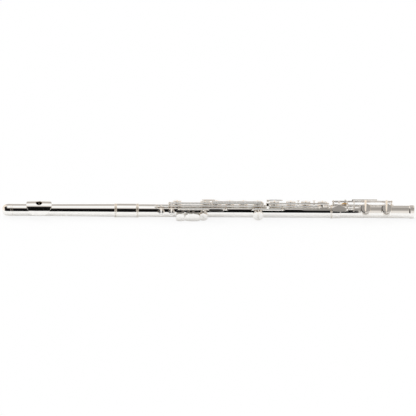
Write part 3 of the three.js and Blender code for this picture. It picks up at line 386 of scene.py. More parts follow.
class Skin:
    """Closed surfaces in the flute's frame, gathered into one piece."""

    def __init__(self):
        self.corners, self.quads, self.triangles, self.count = [], [], [], 0

    def take(self, corners, quads, triangles):
        """Adds one closed surface, turned so that its faces point outwards."""
        halves = np.concatenate([triangles, quads[:, [0, 1, 2]], quads[:, [0, 2, 3]]])
        if signed_volume(corners - corners.mean(0), halves) < 0:
            quads, triangles = quads[:, ::-1], triangles[:, ::-1]
        self.corners.append(corners)
        self.quads.append(quads + self.count)
        self.triangles.append(triangles + self.count)
        self.count += len(corners)

    def add(self, grid, ring=False):
        """Adds a grid whose rows each close on themselves. The first and last rows close with fans,
        to their one point where they are a pole, or in a ring on each other."""
        tips = []
        for end in (0, -1):
            tips.append(grid[end].mean(0))
            if not ring and np.ptp(grid[end], axis=0).max() < 1e-6:
                grid = grid[1:] if end == 0 else grid[:-1]
        rows, columns = grid.shape[:2]
        here = np.arange(rows * columns).reshape(rows, columns)
        beside = np.roll(here, -1, 1)
        if ring:
            below, above = (here, beside), (np.roll(here, -1, 0), np.roll(beside, -1, 0))
        else:
            below, above = (here[:-1], beside[:-1]), (here[1:], beside[1:])
        quads = np.stack([below[0], below[1], above[1], above[0]], -1).reshape(-1, 4)
        corners = grid.reshape(-1, 3)
        triangles = np.zeros((0, 3), int)
        if not ring:
            corners = np.vstack([corners, tips])
            tip = np.full(columns, rows * columns)
            low = np.stack([beside[0], here[0], tip], -1)
            high = np.stack([here[-1], beside[-1], tip + 1], -1)
            triangles = np.concatenate([low, high])
        self.take(corners, quads, triangles)

    def add_pierced(self, outer, inner, keep):
        """Adds a wall between two grids that close round, with some of their quads left out. Each
        edge that only one kept quad has gets a strip from the outer grid to the inner one."""
        rows, columns = outer.shape[:2]
        here = np.arange(rows * columns).reshape(rows, columns)
        beside = np.roll(here, -1, 1)
        quads = np.stack([here[:-1], beside[:-1], beside[1:], here[1:]], -1)[keep]
        edges = np.concatenate([quads[:, [i, (i + 1) % 4]] for i in range(4)])
        keys = np.sort(edges, 1) @ np.array([rows * columns, 1])
        _, first, counts = np.unique(keys, return_index=True, return_counts=True)
        rim = edges[first[counts == 1]]
        inside = rows * columns
        strips = np.stack([rim[:, 1], rim[:, 0], rim[:, 0] + inside, rim[:, 1] + inside], -1)
        faces = np.concatenate([quads, quads[:, ::-1] + inside, strips])
        corners = np.vstack([outer.reshape(-1, 3), inner.reshape(-1, 3)])
        used, packed = np.unique(faces, return_inverse=True)
        self.take(corners[used], packed.reshape(-1, 4), np.zeros((0, 3), int))

    def piece(self, name, body, slot, nodes=(), line=None, stand=0.0, sharp=38.0):
        """Makes the piece in the finish of its slot, lets it ride on its body and stand for its CAD
        nodes. A key's piece is turned about its hinge line to where it stands, and edges sharper than
        an angle stay sharp."""
        if not self.corners:
            raise RuntimeError(f"{name} has no surface")
        points = np.vstack(self.corners)
        if line is not None:
            points = turned_about(points, at_line(line), math.radians(stand))
        quads, triangles = np.vstack(self.quads), np.vstack(self.triangles)
        mesh = bpy.data.meshes.new(name)
        mesh.vertices.add(len(points))
        mesh.vertices.foreach_set("co", laid_down(points).astype(np.float32).ravel())
        mesh.loops.add(quads.size + triangles.size)
        around = np.concatenate([quads.ravel(), triangles.ravel()])
        mesh.loops.foreach_set("vertex_index", around.astype(np.int32))
        mesh.polygons.add(len(quads) + len(triangles))
        starts = np.concatenate([np.arange(len(quads)) * 4, quads.size + np.arange(len(triangles)) * 3])
        mesh.polygons.foreach_set("loop_start", starts.astype(np.int32))
        mesh.update(calc_edges=True)
        if mesh.validate():
            raise RuntimeError(f"{name} has broken faces")
        mesh.shade_smooth()
        mesh.set_sharp_from_angle(angle=math.radians(sharp))
        mesh.materials.append(finish(slot))
        made = bpy.data.objects.new(name, mesh)
        bpy.context.scene.collection.objects.link(made)
        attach(made, body)
        if nodes:
            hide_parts(*nodes)


# Finishes


class Wire:
    """A number on its way through a material's nodes. Sums and products add Math nodes."""

    def __init__(self, nodes, socket):
        self.nodes, self.socket = nodes, socket

    def maths(self, operation, first, second):
        return self.nodes.add("ShaderNodeMath", {"operation": operation}, {0: first, 1: second}).out(0)

    def __add__(self, other):
        return self.maths("ADD", self, other)

    def __sub__(self, other):
        return self.maths("SUBTRACT", self, other)

    def __rsub__(self, other):
        return self.maths("SUBTRACT", other, self)

    def __mul__(self, other):
        return self.maths("MULTIPLY", self, other)

    def __truediv__(self, other):
        return self.maths("DIVIDE", self, other)

    __radd__ = __add__
    __rmul__ = __mul__


class Added:
    """A node that was added, whose outputs come as wires."""

    def __init__(self, nodes, node):
        self.nodes, self.node = nodes, node

    def out(self, name):
        return Wire(self.nodes, self.node.outputs[name])


class Nodes:
    """A node tree that is filled by one method."""

    def __init__(self, tree):
        self.tree = tree
        tree.nodes.clear()

    def add(self, kind, settings=None, inputs=None):
        """Adds a node of a type, makes its settings, then gives its sockets values or links."""
        node = self.tree.nodes.new(kind)
        for name, value in (settings or {}).items():
            if name == "stops":
                self.set_stops(node.color_ramp, value)
            else:
                setattr(node, name, value)
        for name, value in (inputs or {}).items():
            if isinstance(value, Wire):
                self.tree.links.new(value.socket, node.inputs[name])
            else:
                node.inputs[name].default_value = value
        return Added(self, node)

    @staticmethod
    def set_stops(ramp, stops):
        """Gives a colour ramp its stops of (place, colour)."""
        while len(ramp.elements) < len(stops):
            ramp.elements.new(0.5)
        for element, (place, colour) in zip(ramp.elements, sorted(stops)):
            element.position = place
            element.color = (*colour, 1.0)

    def stretched(self, scale):
        """Object coordinates, stretched by a scale along each axis."""
        here = self.add("ShaderNodeTexCoord").out("Object")
        return self.add("ShaderNodeMapping", {}, {"Vector": here, "Scale": scale}).out("Vector")

    def noise(self, scale, detail=3.0, stretch=(1.0, 1.0, 1.0)):
        """Soft noise from 0 to 1, so many times a metre."""
        inputs = {"Vector": self.stretched(stretch), "Scale": scale, "Detail": detail}
        return self.add("ShaderNodeTexNoise", {}, inputs).out(0)

    def blend(self, share, first, second):
        """A colour between two colours, by a share."""
        inputs = {"Factor": share, 6: first, 7: second}
        return self.add("ShaderNodeMix", {"data_type": "RGBA"}, inputs).out(2)

    def ramp(self, value, start, end):
        """From 0 at the start to 1 at the end, softly."""
        inputs = {"Value": value, "From Min": start, "From Max": end}
        return self.add("ShaderNodeMapRange", {"interpolation_type": "SMOOTHSTEP"}, inputs).out(0)

    def edges(self, start, end):
        """From 0 on flat and hollow places to 1 on sharp outer edges, where a finish wears first."""
        return self.ramp(self.add("ShaderNodeNewGeometry").out("Pointiness"), start, end)

    def bump(self, height, strength, distance):
        """A normal that shows a height as relief of that depth in metres."""
        inputs = {"Height": height, "Strength": strength, "Distance": distance}
        return self.add("ShaderNodeBump", {}, inputs).out("Normal")

    def surface(self, **sockets):
        """The shader of the finish: names of its sockets are given with _ for a blank."""
        inputs = {name.replace("_", " "): value for name, value in sockets.items()}
        shader = self.add("ShaderNodeBsdfPrincipled", {}, inputs)
        self.add("ShaderNodeOutputMaterial", {}, {"Surface": shader.out(0)})


def tinted(colour, share):
    """A colour made lighter or darker by a share, with its alpha."""
    return (*[min(part * share, 1.0) for part in colour], 1.0)


def new_finish(name):
    """An empty material and its nodes."""
    material = bpy.data.materials.new(name)
    material.use_nodes = True
    return material, Nodes(material.node_tree)


# Silver where its edges are rubbed
RUBBED_SILVER = (0.93, 0.84, 0.69, 1.0)


def silver_finish(colour):
    """Polished silver: bright, with soft clouds of handling and faint buffing lines along the tube.
    Its edges are rubbed in patches, where the plating is thinner, warmer and less glossy."""
    material, nodes = new_finish("polished_silver")
    cloud = nodes.noise(38.0, 4.0)
    buffing = nodes.noise(420.0, 5.0, (0.12, 1.0, 1.0))
    worn = nodes.edges(0.505, 0.56) * nodes.ramp(nodes.noise(150.0, 4.0), 0.3, 0.6)
    plain = nodes.blend(cloud, tinted(colour, 0.97), tinted(colour, 1.03))
    tone = nodes.blend(worn * 0.6, plain, RUBBED_SILVER)
    roughness = 0.02 + cloud * 0.045 + buffing * 0.02 + worn * 0.14
    relief = nodes.bump(buffing, 0.035, 0.00006)
    nodes.surface(Base_Color=tone, Metallic=1.0, Roughness=roughness, Normal=relief)
    return material


def steel_finish(colour):
    """Ground steel: grey, with fine turning marks round it."""
    material, nodes = new_finish("ground_steel")
    marks = nodes.noise(900.0, 4.0, (1.0, 0.08, 0.08))
    worn = nodes.edges(0.51, 0.58)
    tone = nodes.blend(marks * 0.7 + worn * 0.3, tinted(colour, 0.86), tinted(colour, 1.14))
    roughness = 0.34 - worn * 0.12 - marks * 0.1
    relief = nodes.bump(marks, 0.12, 0.00005)
    nodes.surface(Base_Color=tone, Metallic=1.0, Roughness=roughness, Normal=relief)
    return material


def pad_skin_finish(colour):
    """Pad skin: thin stretched membrane over felt, tan and slightly glossy, with fine creases."""
    material, nodes = new_finish("pad_skin")
    creases = nodes.noise(520.0, 6.0)
    patches = nodes.noise(90.0, 3.0)
    tone = nodes.blend(creases * 0.45 + patches * 0.55, tinted(colour, 0.78), tinted(colour, 1.3))
    relief = nodes.bump(creases, 0.3, 0.00012)
    roughness = 0.42 + creases * 0.2
    nodes.surface(Base_Color=tone, Roughness=roughness, Coat_Weight=0.25, Coat_Roughness=0.3, Normal=relief)
    return material


def cork_finish(colour):
    """Cork: warm brown with dark pores and soft grain."""
    material, nodes = new_finish("cork")
    here = nodes.stretched((1.0, 1.0, 1.0))
    cells = nodes.add("ShaderNodeTexVoronoi", {}, {"Vector": here, "Scale": 650.0}).out("Distance")
    grain = nodes.noise(260.0, 5.0)
    tone = nodes.blend(cells * 0.6 + grain * 0.5, tinted(colour, 0.6), tinted(colour, 1.35))
    relief = nodes.bump(cells, 0.5, 0.0002)
    nodes.surface(Base_Color=tone, Roughness=0.82 + grain * 0.12, Normal=relief)
    return material


def brass_finish(colour):
    """Turned brass: yellow metal with turning marks."""
    material, nodes = new_finish("turned_brass")
    marks = nodes.noise(800.0, 4.0, (1.0, 0.1, 0.1))
    tone = nodes.blend(marks, tinted(colour, 0.85), tinted(colour, 1.12))
    relief = nodes.bump(marks, 0.1, 0.00005)
    nodes.surface(Base_Color=tone, Metallic=1.0, Roughness=0.22 + marks * 0.16, Normal=relief)
    return material


FINISH_MAKERS = {
    "silver": silver_finish,
    "steel": steel_finish,
    "pad_skin": pad_skin_finish,
    "cork": cork_finish,
    "brass": brass_finish,
}
FINISHES = {}


def finish(name):
    """The finish of that name, made once from its colour in the panel."""
    if name not in FINISHES:
        FINISHES[name] = FINISH_MAKERS[name](getattr(bpy.context.scene.flute_colours, name))
    return FINISHES[name]


# Tubes and tone holes


def ring_of(skin, profile, radius=0.25, sides=None, at=(0.0, 0.0), steps=4):
    """A closed ring: a rounded outline of (radius, place) turned about a line along X."""
    outline = softened(profile, radius, closed=True, steps=steps)
    skin.add(turned_along(outline, sides, at), ring=True)


def beads(skin, foot, crest, start, end, count=3):
    """Turned beads side by side, each half round: (foot + (crest - foot) sin k, middle - w cos k)."""
    half = (end - start) / count / 2
    k = np.linspace(0, math.pi, 13)
    for step in range(count):
        middle = start + half * (2 * step + 1)
        outline = np.stack([foot + (crest - foot) * np.sin(k), middle - half * np.cos(k)], -1)
        skin.add(turned_along(outline), ring=True)


def tube_rows(start, end, places, reach):
    """Places of a tube's rows: about 5 mm apart, and a millimetre apart within reach of its holes. Two
    more rows near each end keep the wear of the edge there, and rows that almost meet become one."""
    coarse = np.linspace(start, end, int((end - start) / 5) + 2)
    fine = [np.arange(max(start, x - reach), min(end, x + reach), 1.05) for x in places]
    ends = [start + 0.5, start + 1.0, end - 1.0, end - 0.5]
    rows = np.unique(np.round(np.concatenate([coarse, *fine, ends]), 2))
    rows = rows[np.concatenate([[True], np.diff(rows) > 0.45])]
    rows[-1] = end
    return rows


def pierced_tube(skin, rows, radii, openings):
    """A tube's wall, r(x) round the axis, without the quads whose middle lies over an opening. An
    opening is (x, turn, half length, half width), and a point is over it where
    (u/a)2 + (v/b)2 < 1 on the side that it faces."""
    outer = turned_along(np.stack([radii, rows], -1))
    inner = turned_along(np.stack([radii - mm("tube_wall"), rows], -1))
    middle = (outer[:-1] + outer[1:]) / 2
    middle = (middle + np.roll(middle, -1, 1)) / 2
    keep = np.ones(middle.shape[:2], bool)
    for x, turn, half_length, half_width in openings:
        back = turned_about(middle, (0.0, 0.0), -math.radians(turn))
        over = ((back[..., 0] - x) / half_length) ** 2 + (back[..., 1] / half_width) ** 2 < 1
        keep &= ~(over & (back[..., 2] > 0))
    skin.add_pierced(outer, inner, keep)


CHIMNEY_SIDES = 64
CHIMNEY_COVE = 1.7


def chimney(skin, hole, tube, wall):
    """A drawn tone hole: a ring whose foot follows the tube. A point at distance r and turn k round the
    hole has v = r sin k across, and its foot lies sqrt(R2 - v2) from the tube's axis. From the foot
    a cove rises to the wall, which ends in a rolled rim. The foot's two sides lie just clear of the
    tube's own faces."""
    k = np.linspace(0, 2 * np.pi, CHIMNEY_SIDES, endpoint=False)
    outer, inner, cove = hole.radius + CHIMNEY_WALL, hole.radius, CHIMNEY_COVE
    lip, clear, flange = CHIMNEY_WALL / 2, 0.02, 0.4

    def foot(radius, distance):
        return np.sqrt(np.maximum(radius**2 - (distance * np.sin(k)) ** 2, 0.01))

    rows = []
    for t in np.linspace(0, 1, 7) * math.pi / 2:
        distance = outer + cove * (1 - math.sin(t))
        rows.append((distance, foot(tube + clear, distance) + cove * (1 - math.cos(t))))
    wall_top = hole.rim - lip
    rows.append((outer, np.maximum(foot(tube, outer) + cove + 0.1, wall_top - 0.35)))
    low = np.maximum(rows[-1][1], wall_top)
    for t in np.linspace(0, math.pi, 9):
        rows.append((outer - lip + lip * math.cos(t), low + (hole.rim - low) * math.sin(t)))
    rows.append((inner, foot(tube - wall / 2, inner) + flange))
    rows.append((inner, foot(tube - wall, inner) - clear))
    rows.append((outer + flange, foot(tube - wall, outer + flange) - clear))
    rows.append((outer + cove - 0.1, foot(tube - wall / 2, outer + cove - 0.1)))
    grid = np.stack([np.stack([r * np.cos(k), r * np.sin(k), h * np.ones(len(k))], -1) for r, h in rows])
    skin.add(over_hole(grid, hole), ring=True)


def drawn_tube(skin, start, end, names):
    """A straight tube with drawn tone holes: its wall opens under each chimney, which covers the edge."""
    holes = [HOLES[name] for name in names]
    radius, wall, under = mm("tube_radius"), mm("tube_wall"), 0.75
    rows = tube_rows(start, end, [hole.x for hole in holes], 11)
    openings = [(hole.x, hole.turn, hole.radius + under, hole.radius + under) for hole in holes]
    pierced_tube(skin, rows, np.full(len(rows), radius), openings)
    for hole in holes:
        chimney(skin, hole, radius, wall)


RIB_CORNER = 0.3
RIB_END = 2.5


def rib(skin, start, end, turns, scallops=(), inner=RIB_INNER, outer=RIB_OUTER):
    """A rib along the tube: a strip of the tube's curve whose edge draws back round the chimneys.
    Its section is a rounded rectangle in (turn, radius); edge turn = asin(sqrt(r2 - (x - h)2) / R).
    Holes on top of the tube draw back the edge of least turn, and holes on its side the other."""
    first, last = close_at_ends(9) * 0.02, 0.98 + close_at_ends(9) * 0.02
    x = start + (end - start) * np.concatenate([first, np.linspace(0.021, 0.979, 190), last])
    middle_radius, thick = (inner + outer) / 2, (outer - inner) / 2
    low, high = (np.full(len(x), float(turn)) for turn in turns)
    for hole in scallops:
        reach = hole.radius + CHIMNEY_WALL + FIT_GAP + 0.15
        across = np.sqrt(np.maximum(reach**2 - (x - hole.x) ** 2, 0))
        away = np.degrees(np.arcsin(np.minimum(across / middle_radius, 1)))
        beside = np.abs(x - hole.x) < reach
        if hole.turn:
            high = np.minimum(high, np.where(beside, hole.turn - away, high))
        else:
            low = np.maximum(low, np.where(beside, away, low))
    run = np.minimum(x - start, end - x)
    rounding = np.sqrt(np.maximum(1 - (1 - np.minimum(run / RIB_END, 1)) ** 2, 0.0009))
    wide = np.radians((high - low) / 2)[:, None] * middle_radius * rounding[:, None]
    middle = np.radians((high + low) / 2)[:, None]
    corner = np.minimum(wide * 0.95, RIB_CORNER)
    sx, sy, ox, oy = section(7, 3).T
    turn = middle + (sx * (wide - corner) + corner * ox) / middle_radius
    distance = middle_radius + sy * (thick - RIB_CORNER) + RIB_CORNER * oy
    y, z = -distance * np.sin(turn), distance * np.cos(turn)
    skin.add(np.stack([np.broadcast_to(x[:, None], y.shape), y, z], -1))


def post(skin, x, line, ball=POST_BALL, base=RIB_OUTER):
    """A post turned about its own upright: a flange, a neck of radius 1.2 + 0.75 (2t - 1)4 and a ball
    of radius b, where (b sin k, d - b cos k) runs up to the pole."""
    turn, distance = LINES[line]
    neck_start, neck_end = base + 1.5, distance - ball * 0.86
    low, high, wide = base - 0.6, base + 0.8, 2.2
    flange = softened([[0, low], [wide, low], [wide, high], [1.95, neck_start - 0.5]], 0.3)
    t = np.linspace(0, 1, 8)
    neck = 1.2 + 0.75 * (2 * t - 1) ** 4 * np.where(t < 0.5, 1.0, 0.1)
    stem = np.stack([neck, neck_start + (neck_end - neck_start) * t], -1)
    k = np.linspace(math.asin(1.22 / ball), math.pi, 14)
    sphere = np.stack([ball * np.sin(k), distance - ball * np.cos(k)], -1)
    sphere[-1, 0] = 0
    skin.add(on_tube(turned_up(np.vstack([flange, stem, sphere]), 28), x, turn))


def round_bar(skin, radius, start, end, at, rounding=0.2, sides=24):
    """A solid bar along X with rounded ends."""
    outline = softened([[0, start], [radius, start], [radius, end], [0, end]], rounding)
    skin.add(turned_along(outline, sides, at))


def hinge_tube(skin, start, end, line, radius=HINGE):
    """A tube on a hinge line, bored for its steel, with a turned bead at each end."""
    bore, bead, wide = STEEL + 0.1, radius + 0.14, min(0.9, (end - start) / 4)
    outline = [
        [bore, start], [bead, start], [bead, start + wide], [radius, start + wide + 0.12],
        [radius, end - wide - 0.12], [bead, end - wide], [bead, end], [bore, end],
    ]
    ring_of(skin, outline, 0.12, sides=28, at=at_line(line), steps=3)


def slotted_end(skin, x, way, at):
    """The slotted head of a steel: two half discs, each (r cos k, r sin k) cut off at the slot."""
    depth, half_slot = 0.35, 0.2
    k = np.radians(np.linspace(-72, 72, 15))
    for half in (1, -1):
        rows = []
        for share, place in ((1, 0), (1, depth * 0.7), (0.86, depth)):
            y = at[0] + STEEL * np.sin(k) * share
            z = at[1] + half * np.maximum(STEEL * np.cos(k) * share, half_slot)
            rows.append(np.stack([np.full(len(k), x + way * place), y, z], -1))
        skin.add(np.stack(rows))


# Keys


def key_cup(skin, hole):
    """A key cup: a domed top, h = dome (1 - (r/R)4), a low ring on it that rises at 0.64 R and falls
    at 0.86 R as 1 / (1 + exp(60 s)), a rounded shoulder, a wall with a small bead, and the recess
    for its pad."""
    radius, edge = hole.cup, CUP_SEAT + mm("cup_height")
    low_ring, steep = 0.16, 60
    flat, bead, inside, ceiling = radius - 1.0, radius + 0.16, radius - 0.6, edge - 0.7
    r = np.linspace(0, flat, 20)
    rise = low_ring / (1 + np.exp(-(r / radius - 0.64) * steep))
    fall = low_ring / (1 + np.exp((r / radius - 0.86) * steep))
    ring = np.where(r < radius * 0.82, rise, fall)
    top = np.stack([r, edge + mm("cup_dome") * (1 - (r / flat) ** 4) - 0.1 + ring], -1)
    outline = [
        [flat, edge - 0.1], [radius, edge - 0.15], [radius, CUP_SEAT + 0.9], [bead, CUP_SEAT + 0.75],
        [bead, CUP_SEAT], [inside, CUP_SEAT], [inside, ceiling], [0, ceiling],
    ]
    corners = [0, 0.85, 0.2, 0.12, 0.14, 0.15, 0.3, 0]
    profile = np.vstack([top[:-1], softened(outline, corners)])
    grid = turned_up(profile, bpy.context.scene.flute_sizes.cup_sides)
    grid[..., 2] -= hole.drop
    skin.add(over_hole(grid, hole))


# The ridge along an arm, as it rises above the arm's edges, and the arm's points: shares of the way
# across and up, and of the arch's rise
ARM_RIDGE = 0.72
ARM_SHARES = [[1, 0, 0], [0.99, 0.5, 0.62], [0.71, 0.8, 1.05], [0.32, 1, 0.58], [0, 1, 0]]


def key_arm(skin, line, hole, at=None, past=5.5, wide=1.0, ridge=ARM_RIDGE):
    """An arm from the hinge line over the cup's rim and past its middle: a smooth curve through its
    points. Its half width shrinks as 1 - 0.5 s2 to a rounded tip and flares at the hinge, and the
    ridge along its top grows from the hinge as 1 - exp(-(s / 0.3)2)."""
    turn, distance = LINES[line]
    across, up = polar(turn - hole.turn, distance)
    seat = CUP_SEAT + mm("cup_height") + mm("cup_dome") + 0.15 - hole.drop
    shares = np.array(ARM_SHARES)
    heights = up + (seat - up) * shares[:, 1] + mm("arm_rise") * shares[:, 2]
    start = 0.0 if at is None else at - hole.x
    points = np.stack([start * (1 - np.linspace(0, 1, 5)), across * shares[:, 0], heights], -1)
    points = np.vstack([points, [0.0, -past * np.sign(across), seat - 0.1]])
    share = close_at_ends(40)
    path = through(points, share * 5)
    half = wide * mm("arm_width") / 2 * (1 - 0.5 * share**2) * end_rounding(path, 0, 4.5)
    half *= 1 + 0.35 * np.exp(-((share / 0.07) ** 2))
    thick = 0.65 * (1 - 0.3 * share)
    rise = ridge * (1 - np.exp(-((share / 0.3) ** 2)))
    grid = swept(path, half, thick, 0.3, side=(-np.sign(across), 0.0, 0.0), ridge=rise)
    skin.add(over_hole(grid, hole))


def band(skin, rows, reach, at, width, thickness=1.4, ends=(0.0, 1.5), count=44, rounding=0.55):
    """A band round the tube through rows of (turn, share of reach, left share, right share), where a
    row of two has half the width on each side."""
    rows = [[*row, 0.5, 0.5][:4] for row in rows]
    share = close_at_ends(count)
    turn, out, left, right = through(rows, share * (len(rows) - 1)).T
    y, z = polar(turn, reach * out)
    path = np.stack([at + width * (right - left) / 2, y, z], -1)
    half = width * (left + right) / 2 * end_rounding(path * np.array([0.0, 1, 1]), *ends)
    skin.add(swept(path, half, thickness / 2, rounding, flats=7))


def needle(skin, start, end, radius=0.34):
    """A needle spring: a round wire from a post that thins to two fifths and bows by a little."""
    t = np.linspace(0, 1, 12)
    path = np.outer(1 - t, start) + np.outer(t, end)
    path[:, 2] += 0.35 * np.sin(np.pi * t)
    thick = radius * (1 - 0.6 * t)
    skin.add(swept(path, thick, thick, 1.0, side=(0.0, 0.0, 1.0), flats=3, steps=3))


def post_to_joint(left, right, ball=POST_BALL):
    """Start and end of a hinge tube from the ball of a post to a joint with the next tube."""
    return left + ball + FIT_GAP, right - FIT_GAP / 2


def joint_to_post(left, right, ball=POST_BALL):
    """The same from a joint to a post."""
    return left + FIT_GAP / 2, right - ball - FIT_GAP


def between_joints(left, right):
    """The same between two joints."""
    return left + FIT_GAP / 2, right - FIT_GAP / 2


def between_posts(left, right):
    """The same between two posts."""
    return left + POST_BALL + FIT_GAP, right - POST_BALL - FIT_GAP


class Key(Skin):
    """The silver of a key, which hinges on a line and stands open at rest by some degrees about it."""

    def __init__(self, name, line, stand=0.0):
        super().__init__()
        self.name, self.line, self.stand = name, line, stand

    def add_tube(self, ends, radius=HINGE):
        """Adds a hinge tube on the key's line."""
        hinge_tube(self, *ends, self.line, radius)

    def add_cup(self, hole_name, **arm):
        """Adds a cup and its arm over a tone hole, and makes the pad that rides in the cup."""
        hole = HOLES[hole_name]
        key_cup(self, hole)
        key_arm(self, self.line, hole, **arm)
        pad = Skin()
        pad.add(over_hole(turned_up(pad_profile(hole), 48), hole))
        nodes = [f"{hole_name}_pad"]
        pad.piece(f"{hole_name}_pad_skin", self.name, "pad_skin", nodes, self.line, self.stand)

    def make(self):
        """Makes the key's silver, turned to where it stands."""
        nodes = [f"{self.name}_key"]
        self.piece(f"{self.name}_key_silver", self.name, "silver", nodes, self.line, self.stand)


def pad_profile(hole):
    """A pad's outline: a disc with a rounded skin edge and the shallow ring that the tone hole's rim
    prints, 0.14 exp(-((r - R) / 0.5)2)."""
    radius, low = hole.cup - 0.5, PAD_SEAT - hole.drop
    high = low + mm("pad_thickness")
    r = np.linspace(0, radius - 0.5, 26)
    print_ring = 0.14 * np.exp(-(((r - hole.radius - 0.45) / 0.5) ** 2))
    face = np.stack([r, low + print_ring], -1)
    edge = softened([[radius - 0.5, low], [radius, low + 0.4], [radius, high], [0, high]], 0.35)
    return np.vstack([face[:-1], edge])


# How far keys stand open at rest, in degrees about their hinge line. The others stand closed.
STACK_OPEN, THUMB_OPEN, FOOT_OPEN = 8, -5, -8

# Keys of the main hinge line: start and end of the hinge tube, and the tone holes that they close
STACK_KEYS = {
    "c_sharp": (post_to_joint(UPPER[0], UPPER[1]), ["c_sharp"]),
    "c": (joint_to_post(UPPER[1], UPPER[2]), ["c"]),
    "b_flat": (post_to_joint(UPPER[2], UPPER[3]), ["b_flat"]),
    "a": (between_joints(UPPER[3], UPPER[4]), ["a"]),
    "g": (joint_to_post(UPPER[4], UPPER[5]), ["g", "low_g"]),
    "f_sharp": (post_to_joint(LOWER[0], LOWER[1]), ["f_sharp"]),
    "f": (between_joints(LOWER[1], LOWER[2]), ["f"]),
    "e": (between_joints(LOWER[2], LOWER[3]), ["e"]),
    "d": (joint_to_post(LOWER[3], LOWER[4]), ["d"]),
}
BARRED_KEYS = ("b_flat", "a", "g")

# The keys' bands round the tube: how far they reach from its axis, where they are along it, how long
# they are, and their rows of turn, share of the reach and shares of the width to the left and right
C_PLATE_REACH, C_PLATE_LENGTH = 25.2, 28.5
C_PLATE_ROWS = [[29, 1, 0.16, 0.62], [25, 0.99, 0.22, 0.74], [18, 0.955, 0.25, 0.75], [11, 0.93, 0.2, 0.7]]
TRILL_REACH = 28.3
TRILL_TOUCHES = {"trill_d_sharp": along(0.7326), "trill_d": along(0.6905)}
TRILL_ROWS = [
    [52.2, 0.671, 0.2, 0.2], [54.3, 0.85, 0.2, 0.2], [51, 0.93, 0.2, 0.2], [47.7, 0.972, 0.2, 0.2],
    [38.2, 0.994, 0.2, 0.2], [27, 0.936, 0.3, 0.3], [22, 0.885], [12.5, 0.816, 0.4, 0.4],
]
THUMB_REACH, THUMB_THICKNESS = 22.1, 1.2
THUMB_ARM_ROWS = [[73.8, 0.882], [80, 1.005], [88, 1.02], [97, 1.01], [107, 1]]
THUMB_PLATE_ROWS = [
    [103, 1, 0.3, 0.3], [108, 1, 0.44, 0.44], [117, 1], [130, 1], [143, 1], [154.6, 1, 0.47, 0.47],
]
TAIL_LENGTH = 31.0
TAIL_ROWS = [[76, 0.965, 0, 0.85], [82, 0.968, 0, 1], [88, 0.98, 0, 1], [93, 0.995, 0, 0.72]]
LEVER_REACH, LEVER_AT, LEVER_TOUCH_AT = 26.4, 561.04, 576.54
LEVER_ROWS = [
    [73.8, 0.739], [67, 0.84], [60.3, 0.95], [51, 1.042], [42.8, 1.069], [27, 1.03], [13, 0.94],
    [0, 0.92], [-15, 0.925], [-28, 0.96], [-36, 0.985],
]
LEVER_TOUCH_ROWS = [
    [-29, 0.965, 0.38, 0.3], [-32, 0.98, 0.5, 0.46], [-36, 0.99], [-41, 0.984, 0.46, 0.46],
]
PADDLE_REACH, PADDLE_AT, PADDLE_LENGTH = 21.2, 711.01, 31.0
PADDLE_ROWS = [
    [0, 0.995, 0.07, 0.07], [14, 1.06, 0.07, 0.07], [30, 1.07, 0.07, 0.07], [44, 1.05, 0.09, 0.09],
    [55, 1.012, 0.2, 0.22], [62, 0.99, 0.4, 0.44], [69, 0.979, 0.49, 0.5], [77, 0.98],
    [83, 0.991, 0.42, 0.5], [86, 0.999, 0.1, 0.46],
]
TOUCH_ARM_ROWS = [[0, 0.946], [14, 1.02], [30, 1.04], [44, 1.02]]
C_SHARP_ARM_END = [[50, 1], [56, 0.985]]
C_ARM_END = [[56, 1.09], [66, 1.13], [77, 1.13], [88, 0.99]]
C_SHARP_TOUCH_ROWS = [[50, 1, 0.42, 0.5], [54, 0.99], [57.5, 0.98]]
C_TOUCH_ROWS = [[85, 0.98, 0.72, 0.5], [89, 0.98, 0.72, 0.5], [94, 0.97, 0.6, 0.4]]

# Thumb plates: places of their arms, and the middle and length of the plate
THUMB_PLATES = {"thumb_b": ([393.93, 404.22], 402.52, 31.0), "thumb_b_flat": ([383.01], 377.02, 18.0)}

# Foot touches: rows of the arm's end and of the touch, rounding of its two ends, turn of the roller
# and turns of the plates that reach to the roller's lugs
ROLLER_START, ROLLER_END, LUG = 731.53, 741.53, 1.2
TOUCH_REACH = 22.3
FOOT_TOUCHES = {
    "low_c_sharp": (C_SHARP_ARM_END, C_SHARP_TOUCH_ROWS, (0.8, 0.4), 64.5, (56, 60, 64.5)),
    "low_c": (C_ARM_END, C_TOUCH_ROWS, (0.5, 1.5), 78.5, (78.5, 83, 87)),
}


def roller_line(name):
    """Y and Z of the pin of a foot key's roller."""
    return polar(FOOT_TOUCHES[name][3], TOUCH_REACH)


# Operators


class MakeCrown(bpy.types.Operator):
    """Crown: a domed cap with a turned groove, whose end is r = R sqrt(1 - (1 - x/L)3)"""

    bl_idname = "flute.crown"
    bl_label = "Crown"

    def execute(self, context):
        radius, groove, tenon, bore = 12.9, 12.78, 11.85, 3.3
        dome_end, cap_end, tenon_end, bore_end = 19.0, 23.0, 28.0, 9.0
        place = dome_end * (1 - np.cos(np.linspace(0, math.pi / 2, 34)))
        dome = np.stack([radius * np.sqrt(1 - (1 - place / dome_end) ** 3), place], -1)
        outline = [
            [radius, dome_end], [radius, 19.5], [groove, 19.7], [groove, 20.0], [radius, 20.2],
            [radius, cap_end], [tenon, cap_end], [tenon, tenon_end], [bore, tenon_end],
            [bore, bore_end], [0, bore_end],
        ]
        skin = Skin()
        skin.add(turned_along(np.vstack([dome[:-1], softened(outline, 0.16)])))
        skin.piece("crown_silver", "crown_cap", "silver", ["crown"])
        return {"FINISHED"}


